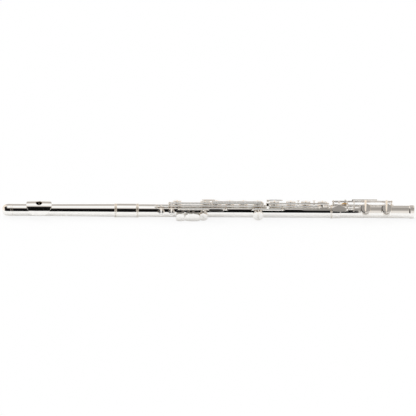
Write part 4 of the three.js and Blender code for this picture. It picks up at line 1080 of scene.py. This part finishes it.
class MakeStopper(bpy.types.Operator):
    """Stopper: gives the screw, cork and plate inside the head their brass and cork"""

    bl_idname = "flute.stopper"
    bl_label = "Stopper"

    def execute(self, context):
        for node, name in (("stopper_screw", "brass"), ("stopper_cork", "cork"), ("stopper_plate", "brass")):
            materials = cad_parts[node].data.materials
            materials.clear()
            materials.append(finish(name))
        return {"FINISHED"}


# The head: radius of its narrow part, where and how much it widens, and its opening's half length
# and half width, which the riser covers
HEAD_RADIUS, HEAD_WIDENING = 12.65, 0.85
HEAD_NARROW, HEAD_WIDE = 110, 225
HEAD_OPENING = (7.6, 6.9)

# The lip plate: its turn round the tube, the half axes of its curve, half length, thickness and
# wrap, and the half length and half width of the embouchure
LIP_TURN = 34.0
LIP_DEPTH, LIP_HEIGHT, LIP_HALF, LIP_THICKNESS = 16.6, 19.0, 27.0, 1.1
LIP_WRAP = math.radians(94)
EMBOUCHURE = (6.75, 6.0)


class MakeHead(bpy.types.Operator):
    """Head tube: r(x) is narrow to 110 mm, then widens evenly to the body's radius at 225 mm"""

    bl_idname = "flute.head"
    bl_label = "Head tube"

    def execute(self, context):
        rows = tube_rows(HEAD_START, HEAD_END, [EMBOUCHURE_AT], 9)
        share = np.clip((rows - HEAD_NARROW) / (HEAD_WIDE - HEAD_NARROW), 0, 1)
        skin = Skin()
        opening = (EMBOUCHURE_AT, LIP_TURN, *HEAD_OPENING)
        pierced_tube(skin, rows, HEAD_RADIUS + HEAD_WIDENING * share, [opening])
        skin.piece("head_tube_silver", "head", "silver", ["head_tube"])
        return {"FINISHED"}


def lip_half_length(share):
    """Half the plate's length at a share of its wrap: L (1 - 0.42 |s - 0.1| to the power 1.6)."""
    return LIP_HALF * (1 - 0.42 * np.abs(share - 0.1) ** 1.6)


def lip_surface(x, wrap, lift):
    """A point of the plate: (x, -D sin w, H cos w), lifted along the normal (-H sin w, D cos w), and
    lowered by 0.5 mm (x/L)2 towards its ends."""
    y, z = -LIP_DEPTH * np.sin(wrap), LIP_HEIGHT * np.cos(wrap)
    ny, nz = -LIP_HEIGHT * np.sin(wrap), LIP_DEPTH * np.cos(wrap)
    size = np.hypot(ny, nz)
    lift = lift - 0.5 * (x / LIP_HALF) ** 2
    return np.stack([EMBOUCHURE_AT + x, y + lift * ny / size, z + lift * nz / size], -1)


def lip_outline(k):
    """Where rays at angles k leave the plate: (|x|/half length)6 + (|w|/wrap)6 = 1, found by halving."""
    way_x, way_w = np.cos(k) * LIP_HALF, np.sin(k) * LIP_WRAP
    low, high = np.zeros(len(k)), np.full(len(k), 1.6)
    for _ in range(40):
        t = (low + high) / 2
        x, w = way_x * t, way_w * t
        half = lip_half_length(np.clip(w / LIP_WRAP, -1, 1))
        outside = (np.abs(x) / half) ** 6 + (np.abs(w) / LIP_WRAP) ** 6 > 1
        high, low = np.where(outside, t, high), np.where(outside, low, t)
    return way_x * low, way_w * low


class MakeLipPlate(bpy.types.Operator):
    """Lip plate: rings from the embouchure's oval out to the plate's outline, on both faces, joined
    by half rounds (b sin a, b cos a) at both edges"""

    bl_idname = "flute.lip_plate"
    bl_label = "Lip plate"

    def execute(self, context):
        k = np.linspace(0, 2 * np.pi, 144, endpoint=False)
        hole_x = EMBOUCHURE[0] * np.cos(k)
        hole_w = np.arcsin(EMBOUCHURE[1] * np.sin(k) / LIP_DEPTH)
        edge_x, edge_w = lip_outline(k)
        half = LIP_THICKNESS / 2
        shares = np.concatenate([[0.012], np.linspace(0.05, 0.95, 17), [0.985]])
        turns = np.radians(90 - 22.5 * np.arange(9))
        rows = [(share, half, 0.0) for share in shares]
        rows += [(1.0, half * math.sin(turn), half * math.cos(turn) - half) for turn in turns]
        rows += [(share, -half, 0.0) for share in shares[::-1]]
        rows += [(0.0, half * math.sin(turn), half - half * math.cos(turn)) for turn in turns[::-1]]
        grid = []
        for share, lift, inset in rows:
            x = hole_x + (edge_x - hole_x) * share + inset * np.cos(k)
            w = hole_w + (edge_w - hole_w) * share + inset * np.sin(k) / LIP_DEPTH
            grid.append(lip_surface(x, w, lift))
        skin = Skin()
        skin.add(turned_about(np.stack(grid), (0.0, 0.0), math.radians(LIP_TURN)), ring=True)
        skin.piece("lip_plate_silver", "head", "silver", ["lip_plate"])
        return {"FINISHED"}


class MakeRiser(bpy.types.Operator):
    """Riser: an oval ring from the head tube to the plate; its foot lies sqrt(R2 - v2) from the axis
    and its top on the plate, with the inner wall (a cos k, b sin k)"""

    bl_idname = "flute.riser"
    bl_label = "Embouchure riser"

    def execute(self, context):
        k = np.linspace(0, 2 * np.pi, 72, endpoint=False)
        # Just clear of the head tube's two faces
        outside, inside = 12.66, 12.14

        def oval(margin, height):
            u, v = (EMBOUCHURE[0] + margin) * np.cos(k), (EMBOUCHURE[1] + margin) * np.sin(k)
            return np.stack([EMBOUCHURE_AT + u, v, height(v)], -1)

        def from_tube(margin, radius, rise=0.0):
            return oval(margin, lambda v: np.sqrt(radius**2 - v**2) + rise)

        def under_plate(margin, drop):
            return oval(margin, lambda v: LIP_HEIGHT * np.sqrt(1 - (v / LIP_DEPTH) ** 2) - drop)

        rows = [
            from_tube(3.2, outside), from_tube(2.6, outside, 0.35), from_tube(2.2, outside, 1.1),
            under_plate(2.2, 1.3), under_plate(2.5, 0.6), under_plate(0.0, 0.5), under_plate(0.0, 1.2),
            from_tube(0.0, 12.9), from_tube(0.0, inside), from_tube(1.6, inside), from_tube(2.9, 12.4),
        ]
        skin = Skin()
        skin.add(turned_about(np.stack(rows), (0.0, 0.0), math.radians(LIP_TURN)), ring=True)
        skin.piece("riser_silver", "head", "silver", ["embouchure_riser"], sharp=50)
        return {"FINISHED"}


# Radii of the barrel's sleeve, of the foot's socket and of the foot of the turned beads on both
BARREL_SLEEVE, SOCKET_RADIUS, BEAD_FOOT = 14.5, 14.3, 13.85


class MakeBarrel(bpy.types.Operator):
    """Barrel: a sleeve with three turned beads at each end"""

    bl_idname = "flute.barrel"
    bl_label = "Barrel"

    def execute(self, context):
        length, over_body, ring = 51, 26, 4.8
        bore, core = 13.8, 14.05
        end = BODY_START + over_body
        start = end - length
        outline = [
            [bore, start + 0.3], [core, start + 0.3], [core, start + ring],
            [BARREL_SLEEVE, start + ring + 0.4], [BARREL_SLEEVE, end - ring - 0.4],
            [core, end - ring], [core, end - 0.3], [bore, end - 0.3],
        ]
        skin = Skin()
        ring_of(skin, outline, 0.22)
        beads(skin, BEAD_FOOT, BARREL_RING, start, start + ring)
        beads(skin, BEAD_FOOT, BARREL_RING, end - ring, end)
        skin.piece("barrel_silver", "body", "silver", ["barrel"])
        return {"FINISHED"}


class MakeBodyTube(bpy.types.Operator):
    """Body tube with its drawn tone holes"""

    bl_idname = "flute.body_tube"
    bl_label = "Body tube"

    def execute(self, context):
        skin = Skin()
        drawn_tube(skin, BODY_START, BODY_END, BODY_HOLES)
        skin.piece("body_tube_silver", "body", "silver", ["body_tube"])
        return {"FINISHED"}


class MakeFootTube(bpy.types.Operator):
    """Foot tube: a socket with its ring, the tube with three drawn tone holes, and the end bead, whose
    outline is (13.4 + 1.1 sin k, middle - half cos k)"""

    bl_idname = "flute.foot_tube"
    bl_label = "Foot tube"

    def execute(self, context):
        skin = Skin()
        drawn_tube(skin, FOOT_SHOULDER, FLUTE_LENGTH, FOOT_HOLES)
        start, end, ring = FOOT_START, FOOT_SHOULDER, 4
        socket = [
            [13.8, start + 0.3], [14.0, start + 0.3], [14.0, start + ring], [SOCKET_RADIUS, start + 4.3],
            [SOCKET_RADIUS, end + 0.9], [13.45, end + 1.6], [13.2, end + 1], [13.2, end + 0.1], [13.8, end],
        ]
        ring_of(skin, socket)
        beads(skin, BEAD_FOOT, SOCKET_RADIUS + (BARREL_RING - BARREL_SLEEVE), start, start + ring)
        k = np.linspace(0, np.pi, 15)
        middle, half, inside = 864.2, 5.6, 13.02
        bead = np.stack([13.4 + 1.1 * np.sin(k), middle - half * np.cos(k)], -1)
        ring_of(skin, np.vstack([[inside, 858.6], bead, [inside, FLUTE_LENGTH]]))
        skin.piece("foot_tube_silver", "foot", "silver", ["foot_tube"])
        return {"FINISHED"}


# Ribs: turns of their two edges, and for the side ones their ends, posts and the hole that they pass
MAIN_RIB_TURNS, SIDE_RIB_TURNS, FOOT_RIB_TURNS = (37, 57), (66, 82), (-8, 8)
SIDE_RIBS = {
    "thumb_rib": (along([0.3654, 0.5044]), (THUMB[0], THUMB[3]), "thumb_b"),
    "g_sharp_rib": (along([0.5639, 0.6549]), G_SHARP, "g_sharp"),
}


class MakeRibs(bpy.types.Operator):
    """Ribs with their posts: three on the body and one on the foot, which steps down from its socket"""

    bl_idname = "flute.ribs"
    bl_label = "Ribs and posts"

    def execute(self, context):
        main = Skin()
        top_holes = [hole for hole in HOLES.values() if hole.turn == 0]
        rib(main, *along([0.3072, 0.7724]), MAIN_RIB_TURNS, top_holes)
        for x in (UPPER[0], UPPER[2], UPPER[5], LOWER[0], LOWER[4]):
            post(main, x, "main")
        for x in (TRILL[0], TRILL[4]):
            post(main, x, "trill", TRILL_BALL)
        post(main, TRILL[2], "trill", SLEEVE_BALL)
        main.piece("main_rib_silver", "body", "silver", ["main_rib_with_posts"])
        for name, (ends, posts, hole) in SIDE_RIBS.items():
            side = Skin()
            rib(side, *ends, SIDE_RIB_TURNS, [HOLES[hole]])
            for x in posts:
                post(side, x, "side")
            side.piece(f"{name}_silver", "body", "silver", [f"{name}_with_posts"])
        foot = Skin()
        step = FOOT_SHOULDER + 2 + 2.4
        rib(foot, FOOT_START + 4.5, step, FOOT_RIB_TURNS, (), SOCKET_RIB_INNER, SOCKET_RIB_OUTER)
        rib(foot, step - 1.2, along(0.9444), FOOT_RIB_TURNS)
        post(foot, FOOT[0], "foot", base=SOCKET_RIB_OUTER)
        post(foot, FOOT[4], "foot")
        foot.piece("foot_rib_silver", "foot", "silver", ["foot_rib_with_posts"])
        return {"FINISHED"}


class MakeRods(bpy.types.Operator):
    """Hinge steels with their slotted ends, which reach through the balls of their posts"""

    bl_idname = "flute.rods"
    bl_label = "Hinge steels"

    def execute(self, context):
        sunk, slot_sunk = 0.3, 0.35
        for name, body, line, left, right in (
            ("main_rod_upper", "body", "main", UPPER[0], UPPER[5]),
            ("main_rod_lower", "body", "main", LOWER[0], LOWER[4]),
            ("g_sharp_rod", "body", "side", G_SHARP[0], G_SHARP[1]),
            ("foot_rod", "foot", "foot", FOOT[0], FOOT[4]),
        ):
            skin, at = Skin(), at_line(line)
            round_bar(skin, STEEL, left - POST_BALL + sunk, right + POST_BALL - sunk, at, 0.1)
            slotted_end(skin, left - POST_BALL + slot_sunk, -1, at)
            slotted_end(skin, right + POST_BALL - slot_sunk, 1, at)
            skin.piece(f"{name}_steel", body, "steel", [name])
        return {"FINISHED"}


class MakeStackKeys(bpy.types.Operator):
    """Stack keys: hinge tube, arms and cups along the main hinge line, with the C key's finger plate
    and the stiffening bar of the left hand"""

    bl_idname = "flute.stack_keys"
    bl_label = "Stack keys"

    def execute(self, context):
        y, z = at_line("main")
        for name, (ends, holes) in STACK_KEYS.items():
            key = Key(name, "main", STACK_OPEN)
            key.add_tube(ends)
            for hole in holes:
                key.add_cup(hole)
            if name in BARRED_KEYS:
                round_bar(key, 1.6, *ends, (y, z + 3.3), 0.5)
            if name == "c":
                band(key, C_PLATE_ROWS, C_PLATE_REACH, HOLES["c"].x, C_PLATE_LENGTH, ends=(2.5, 3.5))
            key.make()
        return {"FINISHED"}


class MakeTrillKeys(bpy.types.Operator):
    """Trill keys: long sleeves, small cups near the head and touches between the right-hand cups"""

    bl_idname = "flute.trill_keys"
    bl_label = "Trill keys"

    def execute(self, context):
        sharp, plain = Key("trill_d_sharp", "trill"), Key("trill_d", "trill")
        round_bar(sharp, STEEL, TRILL[0] - TRILL_BALL, TRILL[4] + TRILL_BALL, at_line("trill"), 0.15)
        sharp.add_tube(post_to_joint(TRILL[0], TRILL[1], TRILL_BALL), SLEEVE)
        sharp.add_tube(joint_to_post(TRILL[3], TRILL[4], TRILL_BALL), SLEEVE)
        plain.add_tube(between_joints(TRILL[1], TRILL[3]), SLEEVE)
        for key in (sharp, plain):
            key.add_cup(key.name, past=2.5)
            band(key, TRILL_ROWS, TRILL_REACH, TRILL_TOUCHES[key.name], 7.0, 1.5, (0, 3))
            key.make()
        return {"FINISHED"}


def thumb_touch(key):
    """The arms and the curved plate of a thumb key."""
    arms, middle, length = THUMB_PLATES[key.name]
    for at in arms:
        band(key, THUMB_ARM_ROWS, THUMB_REACH, at, 3.0, THUMB_THICKNESS, (0, 0.6))
    band(key, THUMB_PLATE_ROWS, THUMB_REACH, middle, length, THUMB_THICKNESS, (2, 2.5))


class MakeThumbKeys(bpy.types.Operator):
    """Thumb keys: two curved plates under the near side, the B cup and the B flat key's flat tail"""

    bl_idname = "flute.thumb_keys"
    bl_label = "Thumb keys"

    def execute(self, context):
        plain = Key("thumb_b", "side", THUMB_OPEN)
        plain.add_tube(between_joints(THUMB[1], THUMB[2]))
        plain.add_cup("thumb_b", ridge=0.4)
        thumb_touch(plain)
        plain.make()
        flat = Key("thumb_b_flat", "side", THUMB_OPEN)
        left, right = post_to_joint(THUMB[0], THUMB[1]), joint_to_post(THUMB[2], THUMB[3])
        round_bar(flat, STEEL, THUMB[0] - POST_BALL, THUMB[3] + POST_BALL, at_line("side"), 0.15)
        flat.add_tube(left)
        flat.add_tube(right)
        thumb_touch(flat)
        band(flat, TAIL_ROWS, THUMB_REACH, right[0], TAIL_LENGTH, THUMB_THICKNESS, (1.2, 2.5))
        flat.make()
        return {"FINISHED"}


class MakeGSharpKey(bpy.types.Operator):
    """G sharp key: its cup on the near side and a lever over the stack to a touch on the far side"""

    bl_idname = "flute.g_sharp_key"
    bl_label = "G sharp key"

    def execute(self, context):
        key = Key("g_sharp", "side")
        key.add_tube(between_posts(*G_SHARP))
        key.add_cup("g_sharp", past=7.0, wide=1.25)
        band(key, LEVER_ROWS, LEVER_REACH, LEVER_AT, 5.0, ends=(0, 1), count=60)
        band(key, LEVER_TOUCH_ROWS, LEVER_REACH, LEVER_TOUCH_AT, 33.0, ends=(1.5, 1.8))
        key.make()
        return {"FINISHED"}


def roller_seat(key):
    """The pin and the two lugs that carry a foot key's roller."""
    at, pin, lug = roller_line(key.name), 0.7, 1.4
    start, end = ROLLER_START - FIT_GAP - LUG, ROLLER_END + FIT_GAP + LUG
    round_bar(key, pin, start, end, at, 0.1, 16)
    round_bar(key, lug, start, start + LUG, at, 0.25)
    round_bar(key, lug, end - LUG, end, at, 0.25)


def foot_touch(key, arm_at):
    """The cup, arm and touch of a low C sharp or low C key, with the seat of its roller and the small
    plates that reach to the lugs."""
    arm_end, touch_rows, rounding, _, lug_turns = FOOT_TOUCHES[key.name]
    middle = (ROLLER_START + ROLLER_END) / 2
    length = ROLLER_END - ROLLER_START + 2 * (FIT_GAP + LUG)
    key.add_cup(key.name, past=7.5, wide=1.3)
    band(key, TOUCH_ARM_ROWS + arm_end, TOUCH_REACH, arm_at + 1.3, 2.6, ends=(0, 0.5))
    band(key, touch_rows, TOUCH_REACH, middle, length, ends=rounding)
    roller_seat(key)
    rows = [[turn, 0.985] for turn in lug_turns]
    for start in (ROLLER_START - FIT_GAP - LUG, ROLLER_END + FIT_GAP):
        band(key, rows, TOUCH_REACH, start + LUG / 2, LUG, ends=(0, 0), count=14, rounding=0.3)
    key.make()


class MakeFootKeys(bpy.types.Operator):
    """Foot keys: the E flat paddle and the low C sharp and low C touches, with their cups. A bar above
    the C sharp key's hinge tube joins the two tubes of the low C key"""

    bl_idname = "flute.foot_keys"
    bl_label = "Foot keys"

    def execute(self, context):
        paddle = Key("e_flat", "foot")
        ends = post_to_joint(FOOT[0], FOOT[1])
        paddle.add_tube(ends)
        paddle.add_cup("e_flat", at=ends[1] - mm("arm_width") / 2)
        band(paddle, PADDLE_ROWS, PADDLE_REACH, PADDLE_AT, PADDLE_LENGTH, ends=(0, 1.2), count=64)
        paddle.make()

        sharp = Key("low_c_sharp", "foot", FOOT_OPEN)
        ends = between_joints(FOOT[2], FOOT[3])
        sharp.add_tube(ends)
        foot_touch(sharp, ends[0])

        low = Key("low_c", "foot", FOOT_OPEN)
        left, right = between_joints(FOOT[1], FOOT[2]), joint_to_post(FOOT[3], FOOT[4])
        low.add_tube(left)
        low.add_tube(right)
        y, z = at_line("foot")
        bridge = 3.6
        round_bar(low, 1.2, left[1] - 3, right[0] + 3, (y, z + bridge), 0.4)
        for at in (left[1] - 1.5, right[0] + 1.5):
            path = np.stack([np.full(12, at), np.full(12, y), z + bridge * close_at_ends(12)], -1)
            low.add(swept(path, 1.5, 1.2))
        foot_touch(low, left[0])
        return {"FINISHED"}


class MakeRollers(bpy.types.Operator):
    """Rollers on the foot touches: slightly barrelled, r = 1.8 - 0.12 s2, bored for their pins"""

    bl_idname = "flute.rollers"
    bl_label = "Rollers"

    def execute(self, context):
        middle, half = (ROLLER_START + ROLLER_END) / 2, (ROLLER_END - ROLLER_START) / 2
        s = np.linspace(-1, 1, 13)
        side = np.stack([1.8 - 0.12 * s**2, middle + (half - 0.25) * s], -1)
        face, bore = 1.45, 1.0
        ends = [[face, middle + half], [bore, middle + half], [bore, middle - half], [face, middle - half]]
        for key, body in (("low_c_sharp", "roller_c_sharp"), ("low_c", "roller_c")):
            skin = Skin()
            skin.add(turned_along(np.vstack([side, ends]), 36, roller_line(key)), ring=True)
            skin.piece(f"{key}_roller_silver", body, "silver", [f"{key}_roller"], "foot", FOOT_OPEN)
        return {"FINISHED"}


class MakeSprings(bpy.types.Operator):
    """Needle springs: thin wires from the posts along the hinge tubes"""

    bl_idname = "flute.springs"
    bl_label = "Needle springs"

    def execute(self, context):
        body, foot = Skin(), Skin()
        for x, way in (
            (UPPER[0], 1), (UPPER[2], -1), (UPPER[2], 1), (UPPER[5], -1), (LOWER[0], 1), (LOWER[4], -1),
        ):
            needle(body, (x, *polar(41.5, 18.4)), (x + way * 21, *polar(40.5, 20.2)))
        for x, way in ((THUMB[0], 1), (THUMB[3], -1), (G_SHARP[0], 1)):
            needle(body, (x, *polar(73.8, 16.6)), (x + way * 15, *polar(74.5, 16.9)), 0.28)
        needle(foot, (FOOT[0], *polar(0, 17.6)), (FOOT[0] + 14, *polar(1.5, 18.4)), 0.28)
        needle(foot, (FOOT[4], *polar(0, 17.0)), (FOOT[4] - 20, *polar(1.5, 18.3)), 0.3)
        body.piece("body_springs", "body", "steel")
        foot.piece("foot_springs", "foot", "steel")
        return {"FINISHED"}


# Brightness of the studio by the angle above the camera's side of the table: straight ahead, and to
# the left and the right of the flute
STUDIO = [
    (-180, 0.8), (-90, 0.85), (-3, 0.95), (2, 0.005), (49, 0.004), (54, 0.09), (58, 0.34), (62, 0.62),
    (70, 0.85), (80, 1.05), (102, 1.05), (112, 0.74), (128, 0.5), (150, 0.36), (160, 0.5), (172, 0.85),
    (180, 0.8),
]
LEFT_SIDE = [
    (-180, 0.8), (-90, 0.85), (-3, 0.95), (2, 0.005), (90, 0.005), (112, 0.8), (165, 0.85), (180, 0.8),
]
RIGHT_SIDE = [(-180, 0.8), (-90, 0.85), (0, 0.85), (42, 0.72), (54, 0.5), (80, 0.5), (100, 0.8), (180, 0.8)]
# Two cards seen only in metal: their start and end along the table and their brightness by angle
CARD_REACH, CARD_TOP = 0.55, 112.0
CARDS = {
    "near_card": (
        0.2, 0.318, [(-3, 0.95), (2, 0.005), (34, 0.005), (42, 0.15), (50, 0.3), (84, 0.3), (94, 0.95)],
    ),
    "end_card": (0.318, 0.95, [(0, 0.85), (42, 0.72), (52, 0.36), (108, 0.33), (122, 0.55)]),
}


WHITE = (1.0, 1.0, 1.0, 1.0)
# Half the side of the table, the spread and turn of the lamp, and the camera's roll, its distance
# and the place that it looks at: along the flute, and above the tube's axis in the picture
TABLE_HALF = 6.0
LAMP_SPREAD, LAMP_TURN = math.radians(70), (math.radians(-14), math.radians(-12), 0)
CAMERA_ROLL, CAMERA_DISTANCE = math.radians(0.3), 1.6
VIEW_MIDDLE, VIEW_ABOVE = 0.4351, 0.0059


def warmed(light, most=0.28):
    """A grey of that brightness, warmer where it is neither black nor white."""
    warmth = most * light * (1 - light)
    return light * (1 + warmth), light, light * (1 - warmth)


def round_the_flute(nodes, y, z, table, most=0.28):
    """A studio colour by the angle atan2(z, -y)."""
    angle = nodes.add("ShaderNodeMath", {"operation": "ARCTAN2"}, {0: z, 1: y * -1.0}).out(0)
    stops = [((degrees + 180) / 360, warmed(light, most)) for degrees, light in table]
    place = angle / (2 * math.pi) + 0.5
    return nodes.add("ShaderNodeValToRGB", {"stops": stops}, {"Fac": place}).out("Color")


class MakeStage(bpy.types.Operator):
    """Stage: a white table, an even studio with a dark gap above the camera, two cards seen in metal,
    one soft lamp, a camera"""

    bl_idname = "flute.stage"
    bl_label = "Table, light and camera"

    def table(self, settings):
        """A white table that shows the flute's shadow, with white added for the camera and in metal."""
        material, nodes = new_finish("white_table")
        seen = nodes.add("ShaderNodeLightPath")
        camera = seen.out("Is Camera Ray")
        glow = (camera + seen.out("Is Glossy Ray") + seen.out("Is Transmission Ray")) * settings.floor_glow
        plain = nodes.add("ShaderNodeBsdfDiffuse", {}, {"Color": (*settings.table, 1.0)})
        light = nodes.add("ShaderNodeEmission", {}, {"Color": WHITE, "Strength": glow})
        lit = nodes.add("ShaderNodeAddShader", {}, {0: plain.out(0), 1: light.out(0)})
        page = nodes.add("ShaderNodeEmission", {}, {"Color": WHITE, "Strength": 1.0})
        share = camera * settings.floor_white
        both = nodes.add("ShaderNodeMixShader", {}, {0: share, 1: lit.out(0), 2: page.out(0)})
        nodes.add("ShaderNodeOutputMaterial", {}, {"Surface": both.out(0)})
        mesh = bpy.data.meshes.new("table")
        corners = np.array([[-1, -1, 0], [1, -1, 0], [1, 1, 0], [-1, 1, 0]]) * TABLE_HALF
        mesh.from_pydata(corners.tolist(), [], [[0, 1, 2, 3]])
        mesh.materials.append(material)
        made = bpy.data.objects.new("table", mesh)
        bpy.context.scene.collection.objects.link(made)

    def card(self, name, start, end, table):
        """A curved card near the foot, seen only in metal: a strip of a cylinder round the tube's
        line, (x, y - R cos a, z + R sin a)."""
        material, nodes = new_finish(name)
        here = nodes.add("ShaderNodeSeparateXYZ", {}, {0: nodes.add("ShaderNodeTexCoord").out("Object")})
        colour = round_the_flute(nodes, here.out("Y") - AXIS_Y, here.out("Z") - AXIS_Z, table)
        shine = nodes.add("ShaderNodeEmission", {}, {"Color": colour, "Strength": 1.0})
        nodes.add("ShaderNodeOutputMaterial", {}, {"Surface": shine.out(0)})
        a = np.radians(np.linspace(0, CARD_TOP, 40))
        y, z = AXIS_Y - CARD_REACH * np.cos(a), AXIS_Z + CARD_REACH * np.sin(a)
        rows = [np.stack([np.full(len(a), x), y, z], -1) for x in (start, end)]
        step = np.arange(len(a) - 1)
        faces = np.stack([step, step + 1, step + 1 + len(a), step + len(a)], -1)
        mesh = bpy.data.meshes.new(name)
        mesh.from_pydata(np.vstack(rows).tolist(), [], faces.tolist())
        mesh.materials.append(material)
        made = bpy.data.objects.new(name, mesh)
        for kind in ("camera", "diffuse", "transmission", "volume_scatter", "shadow"):
            setattr(made, f"visible_{kind}", False)
        bpy.context.scene.collection.objects.link(made)

    def studio(self, settings):
        """The world: white for the camera, an even light on the flute, and in metal the brightness of
        the studio, which blends from ahead to its two sides and ends by x."""
        world = bpy.data.worlds.new("studio")
        world.use_nodes = True
        bpy.context.scene.world = world
        nodes = Nodes(world.node_tree)
        way = nodes.add("ShaderNodeSeparateXYZ", {}, {0: nodes.add("ShaderNodeTexCoord").out("Generated")})
        x, y, z = way.out("X"), way.out("Y"), way.out("Z")
        ahead = round_the_flute(nodes, y, z, STUDIO)
        left, right = (round_the_flute(nodes, y, z, table, 0.8) for table in (LEFT_SIDE, RIGHT_SIDE))
        seen_in_metal = nodes.blend(nodes.ramp(x, -0.14, -0.4), ahead, left)
        seen_in_metal = nodes.blend(nodes.ramp(x, 0.1, 0.38), seen_in_metal, right)
        both_ends = (*warmed(0.85, 0.8), 1.0)
        seen_in_metal = nodes.blend(nodes.ramp(x * x, 0.5, 0.75), seen_in_metal, both_ends)
        path = nodes.add("ShaderNodeLightPath")
        even = (settings.ambient,) * 3 + (1.0,)
        mirrored = path.out("Is Glossy Ray") + path.out("Is Transmission Ray")
        colour = nodes.blend(mirrored, even, seen_in_metal)
        colour = nodes.blend(path.out("Is Camera Ray"), colour, WHITE)
        shade = nodes.add("ShaderNodeBackground", {}, {"Color": colour, "Strength": 1.0})
        nodes.add("ShaderNodeOutputWorld", {}, {"Surface": shade.out(0)})

    def lamp(self, settings):
        """One wide lamp overhead, which makes the soft shadow."""
        light = bpy.data.lights.new("soft_lamp", "SUN")
        light.energy = settings.lamp
        light.angle = LAMP_SPREAD
        made = bpy.data.objects.new("soft_lamp", light)
        made.rotation_euler = LAMP_TURN
        made.visible_glossy = False
        bpy.context.scene.collection.objects.link(made)

    def camera(self, settings):
        """The camera looks down by its elevation; the axis passes a little under the picture's middle."""
        up_turn = settings.elevation
        data = bpy.data.cameras.new("camera")
        data.type = "ORTHO"
        data.ortho_scale = settings.width
        made = bpy.data.objects.new("camera", data)
        back = Vector((0, -math.cos(up_turn), math.sin(up_turn)))
        up = Vector((0, math.sin(up_turn), math.cos(up_turn)))
        target = Vector((AXIS_START + VIEW_MIDDLE, AXIS_Y, AXIS_Z)) + up * VIEW_ABOVE
        turn = Matrix.Rotation(math.pi / 2 - up_turn, 4, "X") @ Matrix.Rotation(CAMERA_ROLL, 4, "Z")
        made.matrix_world = Matrix.Translation(target + back * CAMERA_DISTANCE) @ turn
        bpy.context.scene.collection.objects.link(made)
        bpy.context.scene.camera = made

    def execute(self, context):
        settings = context.scene.flute_stage
        self.table(settings)
        for name, (start, end, table) in CARDS.items():
            self.card(name, start, end, table)
        self.studio(settings)
        self.lamp(settings)
        self.camera(settings)
        context.scene.view_settings.view_transform = "Standard"
        return {"FINISHED"}


STEPS = (
    MakeCrown, MakeStopper, MakeHead, MakeRiser, MakeLipPlate, MakeBarrel, MakeBodyTube, MakeFootTube,
    MakeRibs, MakeRods, MakeStackKeys, MakeTrillKeys, MakeThumbKeys, MakeGSharpKey, MakeFootKeys,
    MakeRollers, MakeSprings, MakeStage,
)


class FlutePanel(bpy.types.Panel):
    """Lists the flute's sizes, colours and steps"""

    bl_idname = "FLUTE_PT_steps"
    bl_label = "Alto flute"
    bl_space_type = "VIEW_3D"
    bl_region_type = "UI"
    bl_category = "Flute"

    def draw(self, context):
        for group in (context.scene.flute_sizes, context.scene.flute_colours, context.scene.flute_stage):
            box = self.layout.box()
            for name in group.bl_rna.properties.keys():
                if name not in ("rna_type", "name"):
                    box.prop(group, name)
        for step in STEPS:
            self.layout.operator(step.bl_idname)


CLASSES = (FluteSizes, FluteColours, StageSettings, *STEPS, FlutePanel)


def register():
    for one in CLASSES:
        bpy.utils.register_class(one)
    bpy.types.Scene.flute_sizes = PointerProperty(type=FluteSizes)
    bpy.types.Scene.flute_colours = PointerProperty(type=FluteColours)
    bpy.types.Scene.flute_stage = PointerProperty(type=StageSettings)


def unregister():
    del bpy.types.Scene.flute_stage
    del bpy.types.Scene.flute_colours
    del bpy.types.Scene.flute_sizes
    for one in reversed(CLASSES):
        bpy.utils.unregister_class(one)


def main():
    """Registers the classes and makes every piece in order."""
    register()
    for step in STEPS:
        group, name = step.bl_idname.split(".")
        getattr(getattr(bpy.ops, group), name)()
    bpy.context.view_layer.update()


if __name__ == "__main__":
    main()
